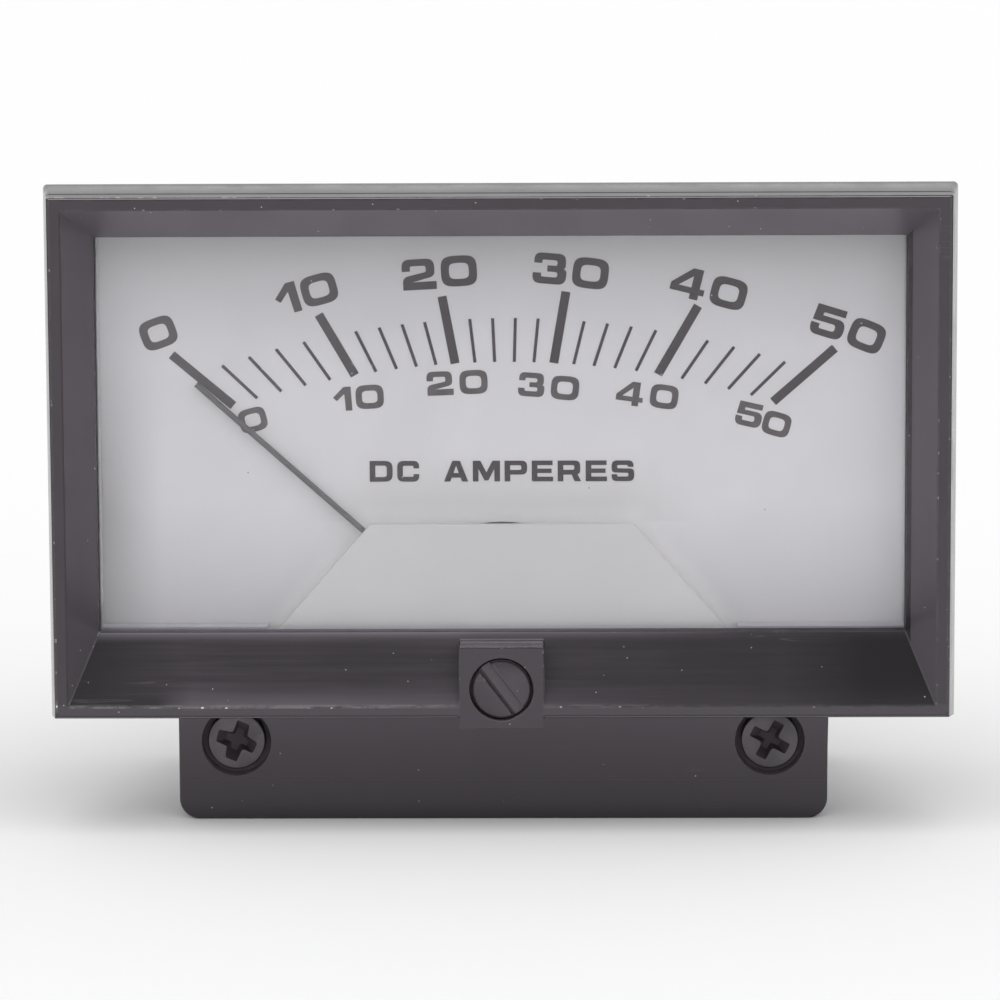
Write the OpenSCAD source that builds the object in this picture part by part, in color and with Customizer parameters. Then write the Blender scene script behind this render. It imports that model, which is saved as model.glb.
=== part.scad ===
// Panel ammeter, 0 to 50 A, with a moving-coil movement behind the dial.
// X is to the right and Z is up as seen from the front. Depth runs back along Y.
// All lengths are in millimetres. Every module is drawn in depth from the front face,
// and seat() then centres the depth on the origin.

/* [Front frame] */

// Width of the front face
bezel_w = 63.5; // [61:0.5:70]
// Height of the front face
bezel_h = 37.1; // [36.5:0.1:42]
// Flat rim at each side
rim_side = 0.93; // [0.7:0.01:1.2]
// Flat rim along the top
rim_top = 0.86; // [0.6:0.01:1.2]
// Flat rim along the bottom
rim_bottom = 0.78; // [0.6:0.01:1.1]
// Run of the side slopes
slope_side = 2.05; // [1.7:0.05:2.5]
// Run of the top slope
slope_top = 2.2; // [1.8:0.05:2.6]
// Run of the bottom slope
slope_bottom = 4.9; // [4.5:0.1:5.2]
// Depth of the slopes
slope_depth = 2.95; // [2.6:0.05:3.3]
// Straight land between the slopes and the window
land = 1.45; // [1.1:0.05:1.8]
// Thickness of the outer lip in front of the cover
lip = 1.2; // [0.9:0.1:1.5]
// Draft of the outer walls, in degrees
draft = 8.4; // [5:0.2:10]
// Depth over which the outer walls are drafted
draft_depth = 4.1; // [3.5:0.1:5]
// Draft of the outer walls behind that depth, in degrees
back_draft = 7; // [6:0.5:9]
// Bevel along the front edges
edge_break = 0.15; // [0.05:0.01:0.25]

/* [Window] */

// Thickness of the window pane
window_t = 0.9; // [0.7:0.1:1.2]
// Overlap of the pane behind the land
window_lap = 0.85; // [0.6:0.05:0.95]
// Play between the pane and its recess
window_play = 0.05; // [0.02:0.01:0.1]

/* [Zero adjuster] */

// Width of the boss round the adjuster
boss_w = 6.02; // [5.6:0.02:7]
// Top of the boss above the adjuster axis
boss_rise = 3.05; // [2.9:0.05:3.3]
// Bottom of the boss below the adjuster axis
boss_fall = 2.82; // [2.7:0.02:3]
// Adjuster axis below the pivot axis
adjuster_drop = 1.58; // [1.4:0.02:1.7]
// Diameter of the adjuster head
adjuster_d = 4.15; // [3.9:0.05:4.3]
// Radial gap round the adjuster head
adjuster_gap = 0.22; // [0.15:0.01:0.25]
// Adjuster head below the face of the boss
adjuster_sink = 0.12; // [0.05:0.01:0.25]
// Height of the adjuster head
adjuster_head_t = 1.4; // [1.2:0.1:1.6]
// Diameter of the adjuster shank
shank_d = 3.2; // [3.1:0.05:3.4]
// Radial running clearance of the shank
shank_play = 0.06; // [0.04:0.01:0.1]
// Height of the snap ring on the shank
snap_ring = 0.25; // [0.2:0.01:0.3]
// Clearance round the snap ring
snap_room = 0.25; // [0.15:0.05:0.4]
// Width of the screwdriver slot
slot_w = 0.95; // [0.7:0.05:1.2]
// Depth of the screwdriver slot
slot_depth = 0.55; // [0.4:0.05:0.8]
// Slope of the slot at rest, in degrees below horizontal
slot_angle = 53; // [0:1:90]
// Offset of the drive pin from the adjuster axis
pin_offset = 1.15; // [1:0.05:1.15]
// Diameter of the drive pin
pin_d = 0.8; // [0.7:0.05:0.8]
// Play of the drive pin in the fork, each side
pin_play = 0.06; // [0.04:0.01:0.08]

/* [Front cover] */

// Wall of the cover at its front edge
cover_wall = 1.0; // [0.9:0.05:1.2]
// Play between the frame and the cover
frame_play = 0.08; // [0.05:0.01:0.12]
// Width of the lower tab and of the rear case
tab_w = 46.8; // [46.4:0.1:50]
// Drop of the tab below the front face
tab_drop = 8.55; // [8.4:0.05:9.5]
// Depth of the front of the tab
tab_front = 5.9; // [5.2:0.1:6.2]
// Radius of the lower corners
tab_corner = 1.5; // [1:0.1:1.8]
// Distance of each case screw from the side of the tab
screw_inset = 4.15; // [3.8:0.05:5]
// Distance of the case screws below the front face
screw_below = 2.85; // [2.7:0.05:3.4]
// Diameter of the case screw heads
screw_head_d = 4.16; // [3.8:0.02:4.2]
// Diameter of the counterbores
counterbore_d = 5.04; // [4.8:0.02:5.2]
// Depth of the counterbores
counterbore_depth = 1.5; // [1.4:0.1:1.8]
// Diameter of the case screw shanks
case_screw_d = 2.0; // [1.8:0.1:2.2]
// Distance of each hook from the middle
hook_x = 15; // [12:0.5:18]
// Width of each hook
hook_w = 5; // [4:0.5:7]

/* [Rear case] */

// Thickness of the flange behind the cover
flange_t = 1.5; // [1.4:0.1:2.2]
// Top of the rear case below the top of the face
case_top_set = 4.65; // [3.5:0.05:8]
// Wall of the rear case
case_wall = 1.6; // [1.4:0.1:1.8]
// Thickness of the back wall
case_back_t = 1.8; // [1.5:0.1:2.5]
// Bevel round the back of the case
case_bevel = 0.8; // [0.4:0.1:1]
// Distance of each mounting stud from the side of the face
stud_inset = 3.75; // [3.4:0.05:5]
// Diameter of the mounting studs
stud_d = 3; // [2.5:0.1:3.5]
// Length of the mounting studs behind the flange
stud_len = 11; // [8:0.5:16]
// Radial step of the collar at the root of each mounting stud
stud_collar = 0.4; // [0.3:0.05:0.5]
// Height of that collar behind the flange
collar_rise = 0.3; // [0.2:0.05:0.5]
// Distance of each terminal from the middle
terminal_x = 11; // [9:0.5:13]
// Distance of the terminals below the top of the case
terminal_top = 10; // [8:0.5:12]
// Diameter of the terminal studs
terminal_d = 4; // [3:0.1:4.2]
// Length of the terminal studs behind the case
terminal_len = 10.5; // [9:0.5:14]
// Thickness of the washers under the terminal studs
washer_t = 0.8; // [0.5:0.1:1]
// Length of the thread relief behind the hexagon of the terminal studs
relief_len = 0.3; // [0.2:0.05:0.5]
// Thickness of the terminal nuts inside the case
terminal_nut_t = 1.2; // [1:0.1:1.6]

/* [Dial] */

// Thickness of the dial plate
dial_t = 0.5; // [0.4:0.05:0.6]
// Gap between the dial plate and the cover at each side
dial_margin = 1.53; // [0.6:0.01:2]
// Radius of the clearance hole round the pivot
aperture_r = 9.42; // [9.2:0.02:9.6]
// Thickness of the printed marks
ink_t = 0.04; // [0.03:0.01:0.06]
// Width of the long marks
major_w = 0.64; // [0.4:0.02:0.8]
// Width of the short marks
minor_w = 0.22; // [0.12:0.02:0.3]
// Centre of the marks above the pivot
scale_rise = 1.38; // [0:0.02:2]
// Centre of the marks to the right of the pivot
scale_shift = 0.38; // [-0.5:0.02:0.5]
// Marks from one end of the scale to the other
mark_count = 26; // [11:5:51]
// Angle of the long mark at 0, from upright to the right
angle_0 = -49.9; // [-55:0.1:-42]
// Angle of the long mark at 10
angle_10 = -30.2; // [-33:0.1:-25]
// Angle of the long mark at 20
angle_20 = -10.7; // [-13:0.1:-6]
// Angle of the long mark at 30
angle_30 = 9.8; // [6:0.1:13]
// Angle of the long mark at 40
angle_40 = 30.1; // [25:0.1:33]
// Angle of the long mark at 50
angle_50 = 48.8; // [42:0.1:55]
// Largest shift of the short marks towards the ends of the scale, in degrees
end_crowd = 0.68; // [0:0.02:1]
// Length of the long mark at 0
long_0 = 5.72; // [4.5:0.01:6]
// Length of the long mark at 10
long_10 = 5.07; // [4.5:0.01:6]
// Length of the long mark at 20
long_20 = 4.92; // [4.5:0.01:6]
// Length of the long mark at 30
long_30 = 5.2; // [4.5:0.01:6]
// Length of the long mark at 40
long_40 = 5.69; // [4.5:0.01:6]
// Length of the long mark at 50
long_50 = 5.85; // [4.5:0.01:6]
// Height of the inner ends of the marks above the pivot
scale_rise_in = 21; // [20:0.05:21.5]
// Height of the outer ends of the short marks above the pivot
scale_rise_minor = 24.15; // [23:0.05:24.5]
// Radius of the flat arcs on which the marks end
scale_arc = 63.5; // [55:0.5:80]

/* [Mask] */

// Thickness of the mask plate
mask_t = 0.5; // [0.4:0.05:0.6]
// Width of the top edge of the mask
mask_top_w = 18.9; // [17.5:0.1:22]
// Top edge of the mask above the pivot
mask_rise = 9.48; // [9:0.02:10]
// Full width of the mask
mask_w = 33; // [31:0.5:33.5]
// Slope of the sides of the mask, in degrees
mask_side = 49; // [45:0.5:55]

/* [Pointer] */

// Pivot axis above the bottom of the face
pivot_rise = 3.6; // [3.4:0.05:4.2]
// Gap above the tip of the pointer when it stands upright in the opening
tip_gap = 1.14; // [0.5:0.02:4]
// Diameter of the pointer needle
needle_d = 0.42; // [0.3:0.02:0.5]
// Gap between the pointer's crank and the hole of the dial
crank_gap = 1.12; // [0.6:0.02:1.6]
// Angle of the pointer at rest from vertical, in degrees
rest_angle = -48.2; // [-49:0.1:-47]
// Length of the tail weight
tail_weight_len = 1.9; // [1.2:0.05:2.2]
// Diameter of the tail weight
tail_weight_d = 1.8; // [1.4:0.05:1.9]

/* [Movement] */

// Radius of the core magnet
core_r = 5.2; // [5:0.05:5.3]
// Length of the core magnet
core_len = 7; // [6:0.5:9]
// Clearance between the coil and the yoke ring
coil_gap = 0.48; // [0.3:0.02:0.7]
// Wall of the yoke ring
yoke_wall = 1.2; // [1:0.05:1.25]
// Half angle of each core spacer, in degrees
spacer_half = 12; // [9:1:13]
// Clearance between the core magnet and its spacers
spacer_play = 0.02; // [0.01:0.01:0.05]
// Width of the coil along its swing
coil_w = 3; // [2.6:0.1:3.1]
// Thickness of the coil former
former_t = 0.2; // [0.15:0.05:0.25]
// Thickness of the winding
winding_t = 0.8; // [0.6:0.05:0.8]
// Clearance between the core and the coil
coil_clear = 0.45; // [0.4:0.05:0.5]
// Thickness of each bridge
bridge_t = 1; // [0.8:0.1:1.2]
// Height of each bridge bar
bridge_h = 3.6; // [3.4:0.1:3.8]
// Diameter of the jewel screws
jewel_screw_d = 2; // [1.8:0.1:2.1]
// Thickness of the hairspring strip
spring_t = 0.1; // [0.06:0.01:0.12]
// Height of the hairspring strip
spring_h = 0.35; // [0.25:0.05:0.4]
// Turns of each hairspring
spring_turns = 5.25; // [4.25:1:5.25]
// Width of the leads inside the case
lead_w = 1.6; // [1.2:0.1:2]
// Thickness of the leads inside the case
lead_t = 0.4; // [0.3:0.05:0.5]
// Bend of the front lead above the pivot
front_lead_rise = 11.5; // [10.5:0.5:14]
// Bend of the rear lead above the pivot
rear_lead_rise = 5; // [3:0.5:12]

/* [Hidden] */

$fn = 64;

// Heights above the base
face_z = tab_drop + bezel_h / 2;
pivot_z = tab_drop + pivot_rise;
adjuster_z = pivot_z - adjuster_drop;

// Outer walls
face_half = bezel_w / 2;
face_rise = bezel_h / 2;
grow_lip = lip * tan(draft);
draft_end = max(draft_depth, lip);
grow_back = draft_end * tan(draft);

// Opening of the frame, from the centre of the face
open_x = face_half - rim_side - slope_side;
open_top = face_rise - rim_top - slope_top;
open_bottom = face_rise - rim_bottom - slope_bottom;

// Inside of the cover and the plug of the frame in it
cover_in_x = face_half + grow_lip - cover_wall;
cover_in_z = face_rise + grow_lip - cover_wall;
plug_x = cover_in_x - frame_play;
plug_z = cover_in_z - frame_play;

// Depths from the front face to the dial
window_y = slope_depth + land;
window_back = window_y + window_t;
mask_y = window_back + 0.2;
mask_back = mask_y + mask_t;
needle_y = mask_back + 0.3 + needle_d / 2;
dial_y = needle_y + needle_d / 2 + 0.5;
dial_back = dial_y + dial_t;
cover_back = dial_back + 1.2;
flange_back = cover_back + flange_t;
hub_back = window_y - 0.1;

// Depths of the movement
bridge_y = dial_back + 1.7;
bridge_back = bridge_y + bridge_t;
bridge_boss = 0.65;
lever_y = bridge_y - 0.55;
lever_t = 0.4;
nut_t = 0.7;
jewel_end = bridge_back + 0.6;
front_spring_y = jewel_end + 0.23;
hub_y = front_spring_y + spring_h + 0.4;
hub_t = 0.4;
coil_y = hub_y + hub_t + 0.6;
core_y = coil_y + winding_t + former_t + 0.5;
core_back = core_y + core_len;
coil_back = core_back + 0.5 + former_t + winding_t;
rear_spring_y = coil_back + 0.85;
rear_jewel_end = rear_spring_y + spring_h + 0.4;
rear_bridge_y = rear_jewel_end + 0.6;
rear_bridge_back = rear_bridge_y + bridge_t;
frame_y = core_y + 0.6;
frame_back = core_back - 0.6;
case_in_back = rear_bridge_back + nut_t + 0.8;
case_back = case_in_back + case_back_t;
overall_depth = case_back + terminal_len;

// Movement radii
former_in = core_r + coil_clear;
former_out = former_in + former_t;
winding_out = former_out + winding_t;
yoke_in = norm([winding_out, coil_w / 2]) + coil_gap;
yoke_r = yoke_in + yoke_wall;
leg_x = yoke_r + 0.5;
leg_w = 2.6;
bridge_screw_x = leg_x + leg_w / 2;
bridge_screw_d = 1.4;
post_x = leg_x + leg_w + 2.4;
post_z = pivot_z - 0.95;
post_r = 1.5;
frame_screw_x = post_x + 3.6;
frame_screw_d = 1.8;
wing_x = frame_screw_x + 1.6;
wing_h = 6;
dial_screw_d = 1.4;
spring_in = 0.63;
spring_out = 2.78;
finger_r = spring_out + spring_t / 2 + 0.03;
pin_r = pin_d / 2;
fork_half = pin_r + pin_play;

// Rear case and its fasteners
case_half = tab_w / 2;
case_h = tab_drop + bezel_h - case_top_set;
terminal_z = case_h - terminal_top;
screw_x = case_half - screw_inset;
screw_z = tab_drop - screw_below;
stud_x = face_half - stud_inset;
stud_z = face_z;
stud_end = flange_back + stud_len;
terminal_shank = terminal_d / 2 - 0.5;
hook_z = cover_in_z - 1.1;

// Dial and pointer
dial_half = cover_in_x - dial_margin;
pointer_len = face_z + open_top - pivot_z - tip_gap;
crank_r = aperture_r - crank_gap;

// Shared shapes

// Moves a shape drawn in depth from the front face to the shared frame.
module seat() {
    translate([0, -overall_depth / 2, 0]) children();
}

// Moves a shape drawn about the pivot axis to its place.
module on_pivot(turn = 0) {
    translate([0, 0, pivot_z]) rotate([0, turn, 0]) children();
}

// Pulls a front view outline through a range of depths.
module slab(y0, y1) {
    translate([0, y1, 0]) rotate([90, 0, 0]) linear_extrude(y1 - y0) children();
}

// Round rod along the depth.
module rod(x, z, r, y0, y1) {
    translate([x, y0, z]) rotate([-90, 0, 0]) cylinder(r = r, h = y1 - y0);
}

// Cone along the depth.
module cone(x, z, r0, r1, y0, y1) {
    translate([x, y0, z]) rotate([-90, 0, 0]) cylinder(r1 = r0, r2 = r1, h = y1 - y0);
}

// Box from its limits.
module block(x0, x1, y0, y1, z0, z1) {
    translate([x0, y0, z0]) cube([x1 - x0, y1 - y0, z1 - z0]);
}

// Pulls a side view outline, depth and height, along X.
module along_x(x0, x1) {
    translate([x0, 0, 0]) rotate([90, 0, 90]) linear_extrude(x1 - x0) children();
}

// Pulls a plan outline, X and depth, along Z.
module along_z(z0, z1) {
    translate([0, 0, z0]) linear_extrude(z1 - z0) children();
}

// Rectangle with round corners, from its limits.
module round_rect(x0, x1, z0, z1, r) {
    translate([x0 + r, z0]) square([x1 - x0 - 2 * r, z1 - z0]);
    translate([x0, z0 + r]) square([x1 - x0, z1 - z0 - 2 * r]);
    for (x = [x0 + r, x1 - r], z = [z0 + r, z1 - r]) translate([x, z]) circle(r = r);
}

// Copies a shape to both sides.
module both_sides() {
    children();
    mirror([1, 0, 0]) children();
}

// Growth of the outer walls at a depth: outwards up to the end of the draft, inwards behind it.
function wall_grow(y) = y < draft_end ? y * tan(draft) : grow_back - (y - draft_end) * tan(back_draft);

// Outer body with drafted walls between two depths, with an optional front bevel.
module drafted(y0, y1, bevel) {
    yd = min(max(draft_end, y0 + bevel), y1);
    g0 = wall_grow(y0) - bevel;
    gb = wall_grow(y0 + bevel);
    gd = wall_grow(yd);
    g1 = wall_grow(y1);
    intersection() {
        along_z(face_z - face_rise - grow_back - 1, face_z + face_rise + grow_back + 1)
            polygon([
                [-face_half - g0, y0], [face_half + g0, y0], [face_half + gb, y0 + bevel],
                [face_half + gd, yd], [face_half + g1, y1], [-face_half - g1, y1],
                [-face_half - gd, yd], [-face_half - gb, y0 + bevel]
            ]);
        along_x(-face_half - grow_back - 1, face_half + grow_back + 1)
            polygon([
                [y0, face_z - face_rise - g0], [y0 + bevel, face_z - face_rise - gb],
                [yd, face_z - face_rise - gd], [y1, face_z - face_rise - g1],
                [y1, face_z + face_rise + g1], [yd, face_z + face_rise + gd],
                [y0 + bevel, face_z + face_rise + gb], [y0, face_z + face_rise + g0]
            ]);
    }
}

// Space in front of the slopes and through the land.
module view_space() {
    s0 = -1;
    k = -s0 / slope_depth;
    intersection() {
        along_z(0, face_z + 2 * face_rise)
            polygon([
                [-open_x - slope_side * (1 + k), s0], [open_x + slope_side * (1 + k), s0],
                [open_x, slope_depth], [open_x, window_y + 0.1],
                [-open_x, window_y + 0.1], [-open_x, slope_depth]
            ]);
        along_x(-bezel_w, bezel_w)
            polygon([
                [s0, face_z - open_bottom - slope_bottom * (1 + k)], [slope_depth, face_z - open_bottom],
                [window_y + 0.1, face_z - open_bottom], [window_y + 0.1, face_z + open_top],
                [slope_depth, face_z + open_top], [s0, face_z + open_top + slope_top * (1 + k)]
            ]);
    }
}

// Phillips recess in a head whose top is at depth y.
module cross_recess(x, z, y, size, turn) {
    translate([x, y, z]) rotate([0, turn, 0]) {
        block(-size / 2, size / 2, -0.1, size * 0.3, -size * 0.15, size * 0.15);
        block(-size * 0.15, size * 0.15, -0.1, size * 0.3, -size / 2, size / 2);
    }
}

// Flat spiral strip about the pivot axis that ends straight up.
module spiral(y0) {
    steps = round(spring_turns * 28);
    last = 90;
    first = last - 360 * spring_turns;
    start = spring_in + spring_t / 2;
    mid = [for (i = [0:steps]) start + (spring_out - start) * i / steps];
    ang = [for (i = [0:steps]) first + (last - first) * i / steps];
    outer = [for (i = [0:steps]) (mid[i] + spring_t / 2) * [cos(ang[i]), sin(ang[i])]];
    inner = [for (i = [steps:-1:0]) (mid[i] - spring_t / 2) * [cos(ang[i]), sin(ang[i])]];
    slab(y0, y0 + spring_h) polygon(concat(outer, inner));
}

// Place of a mark along the scale, in tens.
function mark_tens(i) = 5 * i / (mark_count - 1);

// Angle of a mark from vertical, where the first and the last ten crowd towards their ends.
function mark_angle(i) =
    let(t = mark_tens(i), crowd = 4 * end_crowd)
    lookup(t, [
        [0, angle_0], [1, angle_10], [2, angle_20], [3, angle_30], [4, angle_40], [5, angle_50]
    ]) + (t < 1 ? -crowd * t * (1 - t) : t > 4 ? crowd * (t - 4) * (5 - t) : 0);

// Length of a long mark.
function mark_long(i) =
    lookup(mark_tens(i), [
        [0, long_0], [1, long_10], [2, long_20], [3, long_30], [4, long_40], [5, long_50]
    ]);

// Distance along a mark to the flat arc whose top is a given height above the pivot.
function mark_r(angle, rise) =
    let(c = scale_arc - rise + scale_rise)
    sqrt(scale_arc * scale_arc - pow(c * sin(angle), 2)) - c * cos(angle);

// Front frame and window

module bezel() {
    color("#262326") seat() difference() {
        union() {
            difference() {
                union() {
                    drafted(0, lip, edge_break);
                    block(-plug_x, plug_x, lip - 0.1, window_back, face_z - plug_z, face_z + plug_z);
                }
                view_space();
                // recess for the window
                block(
                    -open_x - window_lap - window_play, open_x + window_lap + window_play,
                    window_y, window_back + 1,
                    face_z - open_bottom - window_lap - window_play,
                    face_z + open_top + window_lap + window_play
                );
                // hollow behind the bottom slope
                along_x(-plug_x + 1.2, plug_x - 1.2)
                    polygon([
                        [lip + 0.9, face_z - plug_z + 0.9], [window_back + 1, face_z - plug_z + 0.9],
                        [window_back + 1, face_z - open_bottom - window_lap - window_play - 0.7],
                        [slope_depth + 1.2, face_z - open_bottom - window_lap - window_play - 0.7]
                    ]);
            }
            // boss and hub of the adjuster
            block(-boss_w / 2, boss_w / 2, 0, hub_back, adjuster_z - boss_fall, adjuster_z + boss_rise);
        }
        rod(0, adjuster_z, adjuster_d / 2 + adjuster_gap, -1, adjuster_sink + adjuster_head_t + 0.1);
        rod(0, adjuster_z, shank_d / 2 + shank_play, 0, hub_back + 1);
        // room for the snap ring of the adjuster
        rod(0, adjuster_z, shank_d / 2 + snap_ring + snap_room, hub_back, window_back + 1);
    }
}

module window() {
    lap = window_lap;
    skirt = 0.85;
    color("#dfe6ea") seat() {
        difference() {
            block(
                -open_x - lap, open_x + lap, window_y, dial_y - 0.15,
                face_z - open_bottom - lap, face_z + open_top + lap
            );
            block(
                -open_x - lap + skirt, open_x + lap - skirt, window_back, dial_y + 1,
                face_z - open_bottom - lap + skirt, face_z + open_top + lap - skirt
            );
            // the lower skirt leaves room for the mask and the pointer
            block(
                -mask_w / 2 - 0.4, mask_w / 2 + 0.4, window_back, dial_y + 1,
                face_z - open_bottom - lap - 1, face_z - open_bottom + 1
            );
        }
    }
}

// Case

// Front view of the lower tab and the rear case up to a height.
module tab_outline(top) {
    round_rect(-case_half, case_half, 0, top, tab_corner);
}

module front_cover() {
    color("#2b282b") seat() {
        difference() {
            union() {
                drafted(lip, cover_back, 0);
                slab(tab_front, cover_back) tab_outline(face_z - cover_in_z + 4);
            }
            block(
                -cover_in_x, cover_in_x, lip - 1, cover_back + 1,
                face_z - cover_in_z, face_z + cover_in_z
            );
            // holes for the case screws
            both_sides() {
                rod(screw_x, screw_z, case_screw_d / 2 + 0.15, tab_front - 1, cover_back + 1);
                rod(screw_x, screw_z, counterbore_d / 2, tab_front, tab_front + counterbore_depth);
            }
            // notch for the hub of the adjuster and groove for the drive pin
            block(
                -boss_w / 2 - frame_play, boss_w / 2 + frame_play, lip - 1, hub_back + 0.2,
                adjuster_z - boss_fall - 2, face_z - cover_in_z + 1
            );
            block(
                -2.4, 2.4, hub_back - 0.5, cover_back + 1,
                adjuster_z - pin_offset - pin_r - 0.4, face_z - cover_in_z + 1
            );
        }
        // hooks that hold the top of the cover to the flange
        both_sides() {
            block(
                hook_x - hook_w / 2, hook_x + hook_w / 2, cover_back - 1, cover_back + flange_t - 0.1,
                face_z + hook_z, face_z + hook_z + 0.8
            );
            block(
                hook_x - hook_w / 2, hook_x + hook_w / 2, cover_back - 1, cover_back,
                face_z + hook_z, face_z + cover_in_z + 0.2
            );
            block(
                hook_x - hook_w / 2, hook_x + hook_w / 2,
                cover_back + flange_t - 0.5, cover_back + flange_t - 0.1,
                face_z + hook_z, face_z + hook_z + 1.1
            );
        }
    }
}

module rear_case() {
    in_half = case_half - case_wall;
    in_top = case_h - case_wall;
    color("#232123") seat() difference() {
        union() {
            difference() {
                union() {
                    intersection() {
                        slab(cover_back, case_back) tab_outline(case_h);
                        along_x(-case_half - 1, case_half + 1)
                            polygon([
                                [cover_back, 0], [case_back - case_bevel, 0],
                                [case_back, case_bevel], [case_back, case_h - case_bevel],
                                [case_back - case_bevel, case_h], [cover_back, case_h]
                            ]);
                        along_z(-1, case_h + 1)
                            polygon([
                                [-case_half, cover_back], [case_half, cover_back],
                                [case_half, case_back - case_bevel], [case_half - case_bevel, case_back],
                                [-case_half + case_bevel, case_back], [-case_half, case_back - case_bevel]
                            ]);
                    }
                    drafted(cover_back, flange_back, 0);
                }
                slab(cover_back - 1, case_in_back) round_rect(-in_half, in_half, case_wall, in_top, 0.6);
            }
            // pads behind the dial
            both_sides() rod(case_half - 1.4, in_top + 1.2, 1.2, dial_back, cover_back + 0.5);
            // bosses of the case screws
            both_sides() rod(screw_x, screw_z, 2.7, cover_back, cover_back + 8);
            // bosses of the movement frame
            both_sides() rod(frame_screw_x, pivot_z, 2.4, frame_back, case_in_back + 0.5);
        }
        both_sides() {
            rod(screw_x, screw_z, case_screw_d / 2, cover_back - 1, cover_back + 7.2);
            rod(frame_screw_x, pivot_z, frame_screw_d / 2, frame_back - 1, frame_back + 5.2);
            rod(stud_x, stud_z, stud_d / 2 + stud_collar, cover_back - 1, flange_back + 1);
            rod(terminal_x, terminal_z, terminal_shank + 0.1, case_in_back - 1, case_back + 1);
            // slots of the hooks
            block(
                hook_x - hook_w / 2 - 0.2, hook_x + hook_w / 2 + 0.2, cover_back - 1, flange_back + 1,
                face_z + hook_z - 0.15, face_z + hook_z + 0.9
            );
            block(
                hook_x - hook_w / 2 - 0.2, hook_x + hook_w / 2 + 0.2, flange_back - 0.6, flange_back + 1,
                face_z + hook_z - 0.15, face_z + hook_z + 1.25
            );
        }
    }
}

module case_screw(turn) {
    head_y = tab_front + counterbore_depth;
    difference() {
        union() {
            rod(0, 0, screw_head_d / 2, head_y - 0.9, head_y);
            cone(0, 0, screw_head_d / 2 - 0.35, screw_head_d / 2, head_y - 1.2, head_y - 0.9);
            rod(0, 0, case_screw_d / 2, head_y, cover_back + 7);
        }
        cross_recess(0, 0, head_y - 1.2, 2.96, turn);
    }
}

module case_screws() {
    color("#6d6a6c") seat() {
        translate([-screw_x, 0, screw_z]) case_screw(20);
        translate([screw_x, 0, screw_z]) case_screw(28);
    }
}

module mounting_studs() {
    color("#b9b6ae") seat() both_sides() {
        rod(stud_x, stud_z, stud_d / 2 + 0.8, cover_back - 0.7, cover_back);
        rod(stud_x, stud_z, stud_d / 2 + stud_collar, cover_back, flange_back + collar_rise);
        rod(stud_x, stud_z, stud_d / 2, flange_back, stud_end - 0.4);
        cone(stud_x, stud_z, stud_d / 2, stud_d / 2 - 0.4, stud_end - 0.4, stud_end);
    }
}

// Turned studs with a hexagon outside the case and a thinner shank through its wall.
module terminal_studs() {
    hexagon_y = case_back + washer_t;
    thread_y = hexagon_y + terminal_d * 0.8 + relief_len;
    end = overall_depth;
    color("#c9a552") seat() both_sides() {
        rod(terminal_x, terminal_z, terminal_shank, case_in_back - terminal_nut_t, hexagon_y);
        slab(hexagon_y, hexagon_y + terminal_d * 0.8)
            translate([terminal_x, terminal_z]) circle(d = terminal_d * 2.02, $fn = 6);
        rod(terminal_x, terminal_z, terminal_d / 2 - 0.2, hexagon_y, thread_y);
        rod(terminal_x, terminal_z, terminal_d / 2, thread_y, end - 0.5);
        cone(terminal_x, terminal_z, terminal_d / 2, terminal_d / 2 - 0.5, end - 0.5, end);
    }
}

module terminal_washers() {
    color("#c9a552") seat() both_sides() difference() {
        rod(terminal_x, terminal_z, terminal_d / 2 + 2.4, case_back, case_back + washer_t);
        rod(terminal_x, terminal_z, terminal_shank + 0.15, case_back - 1, case_back + 2);
    }
}

// Thin nuts inside the case, which also press the leads to the studs.
module terminal_nuts() {
    color("#c9a552") seat() both_sides() difference() {
        slab(case_in_back - terminal_nut_t, case_in_back)
            translate([terminal_x, terminal_z]) circle(d = terminal_d + 3, $fn = 6);
        rod(terminal_x, terminal_z, terminal_shank, case_in_back - terminal_nut_t - 1, case_in_back + 1);
    }
}

// Zero adjuster

module zero_adjust_screw() {
    head_end = adjuster_sink + adjuster_head_t;
    color("#2a272a") seat() translate([0, 0, adjuster_z]) {
        difference() {
            union() {
                cone(0, 0, adjuster_d / 2 - 0.15, adjuster_d / 2, adjuster_sink, adjuster_sink + 0.15);
                rod(0, 0, adjuster_d / 2, adjuster_sink + 0.15, head_end);
            }
            translate([0, adjuster_sink, 0]) rotate([0, slot_angle, 0])
                block(-adjuster_d, adjuster_d, -1, slot_depth, -slot_w / 2, slot_w / 2);
        }
        rod(0, 0, shank_d / 2, head_end, hub_back + 0.5);
        // snap ring behind the hub
        cone(0, 0, shank_d / 2 + snap_ring, shank_d / 2, hub_back + 0.1, hub_back + 0.5);
        // drive pin
        rod(0, -pin_offset, pin_r, hub_back + 0.4, lever_y + lever_t + 0.2);
    }
}

module zero_lever() {
    ring_r = jewel_screw_d / 2 + 1.3;
    hole_r = jewel_screw_d / 2 + 0.45;
    tine = adjuster_drop + pin_offset + pin_r + 0.12;
    color("#c8b27a") seat() on_pivot() {
        difference() {
            slab(lever_y, lever_y + lever_t) {
                circle(r = ring_r);
                translate([-fork_half - 0.65, -tine]) square([2 * fork_half + 1.3, tine]);
                translate([-0.6, 0]) square([1.2, finger_r + 0.4]);
            }
            rod(0, 0, hole_r, lever_y - 1, lever_y + 2);
            slab(lever_y - 1, lever_y + 2) translate([-fork_half, -tine - 1])
                square([2 * fork_half, tine + 1 - ring_r + 0.15]);
        }
        // finger that carries the outer end of the hairspring
        block(-0.6, 0.6, lever_y, front_spring_y + spring_h, finger_r, finger_r + 0.4);
    }
}

// Dial

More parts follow.
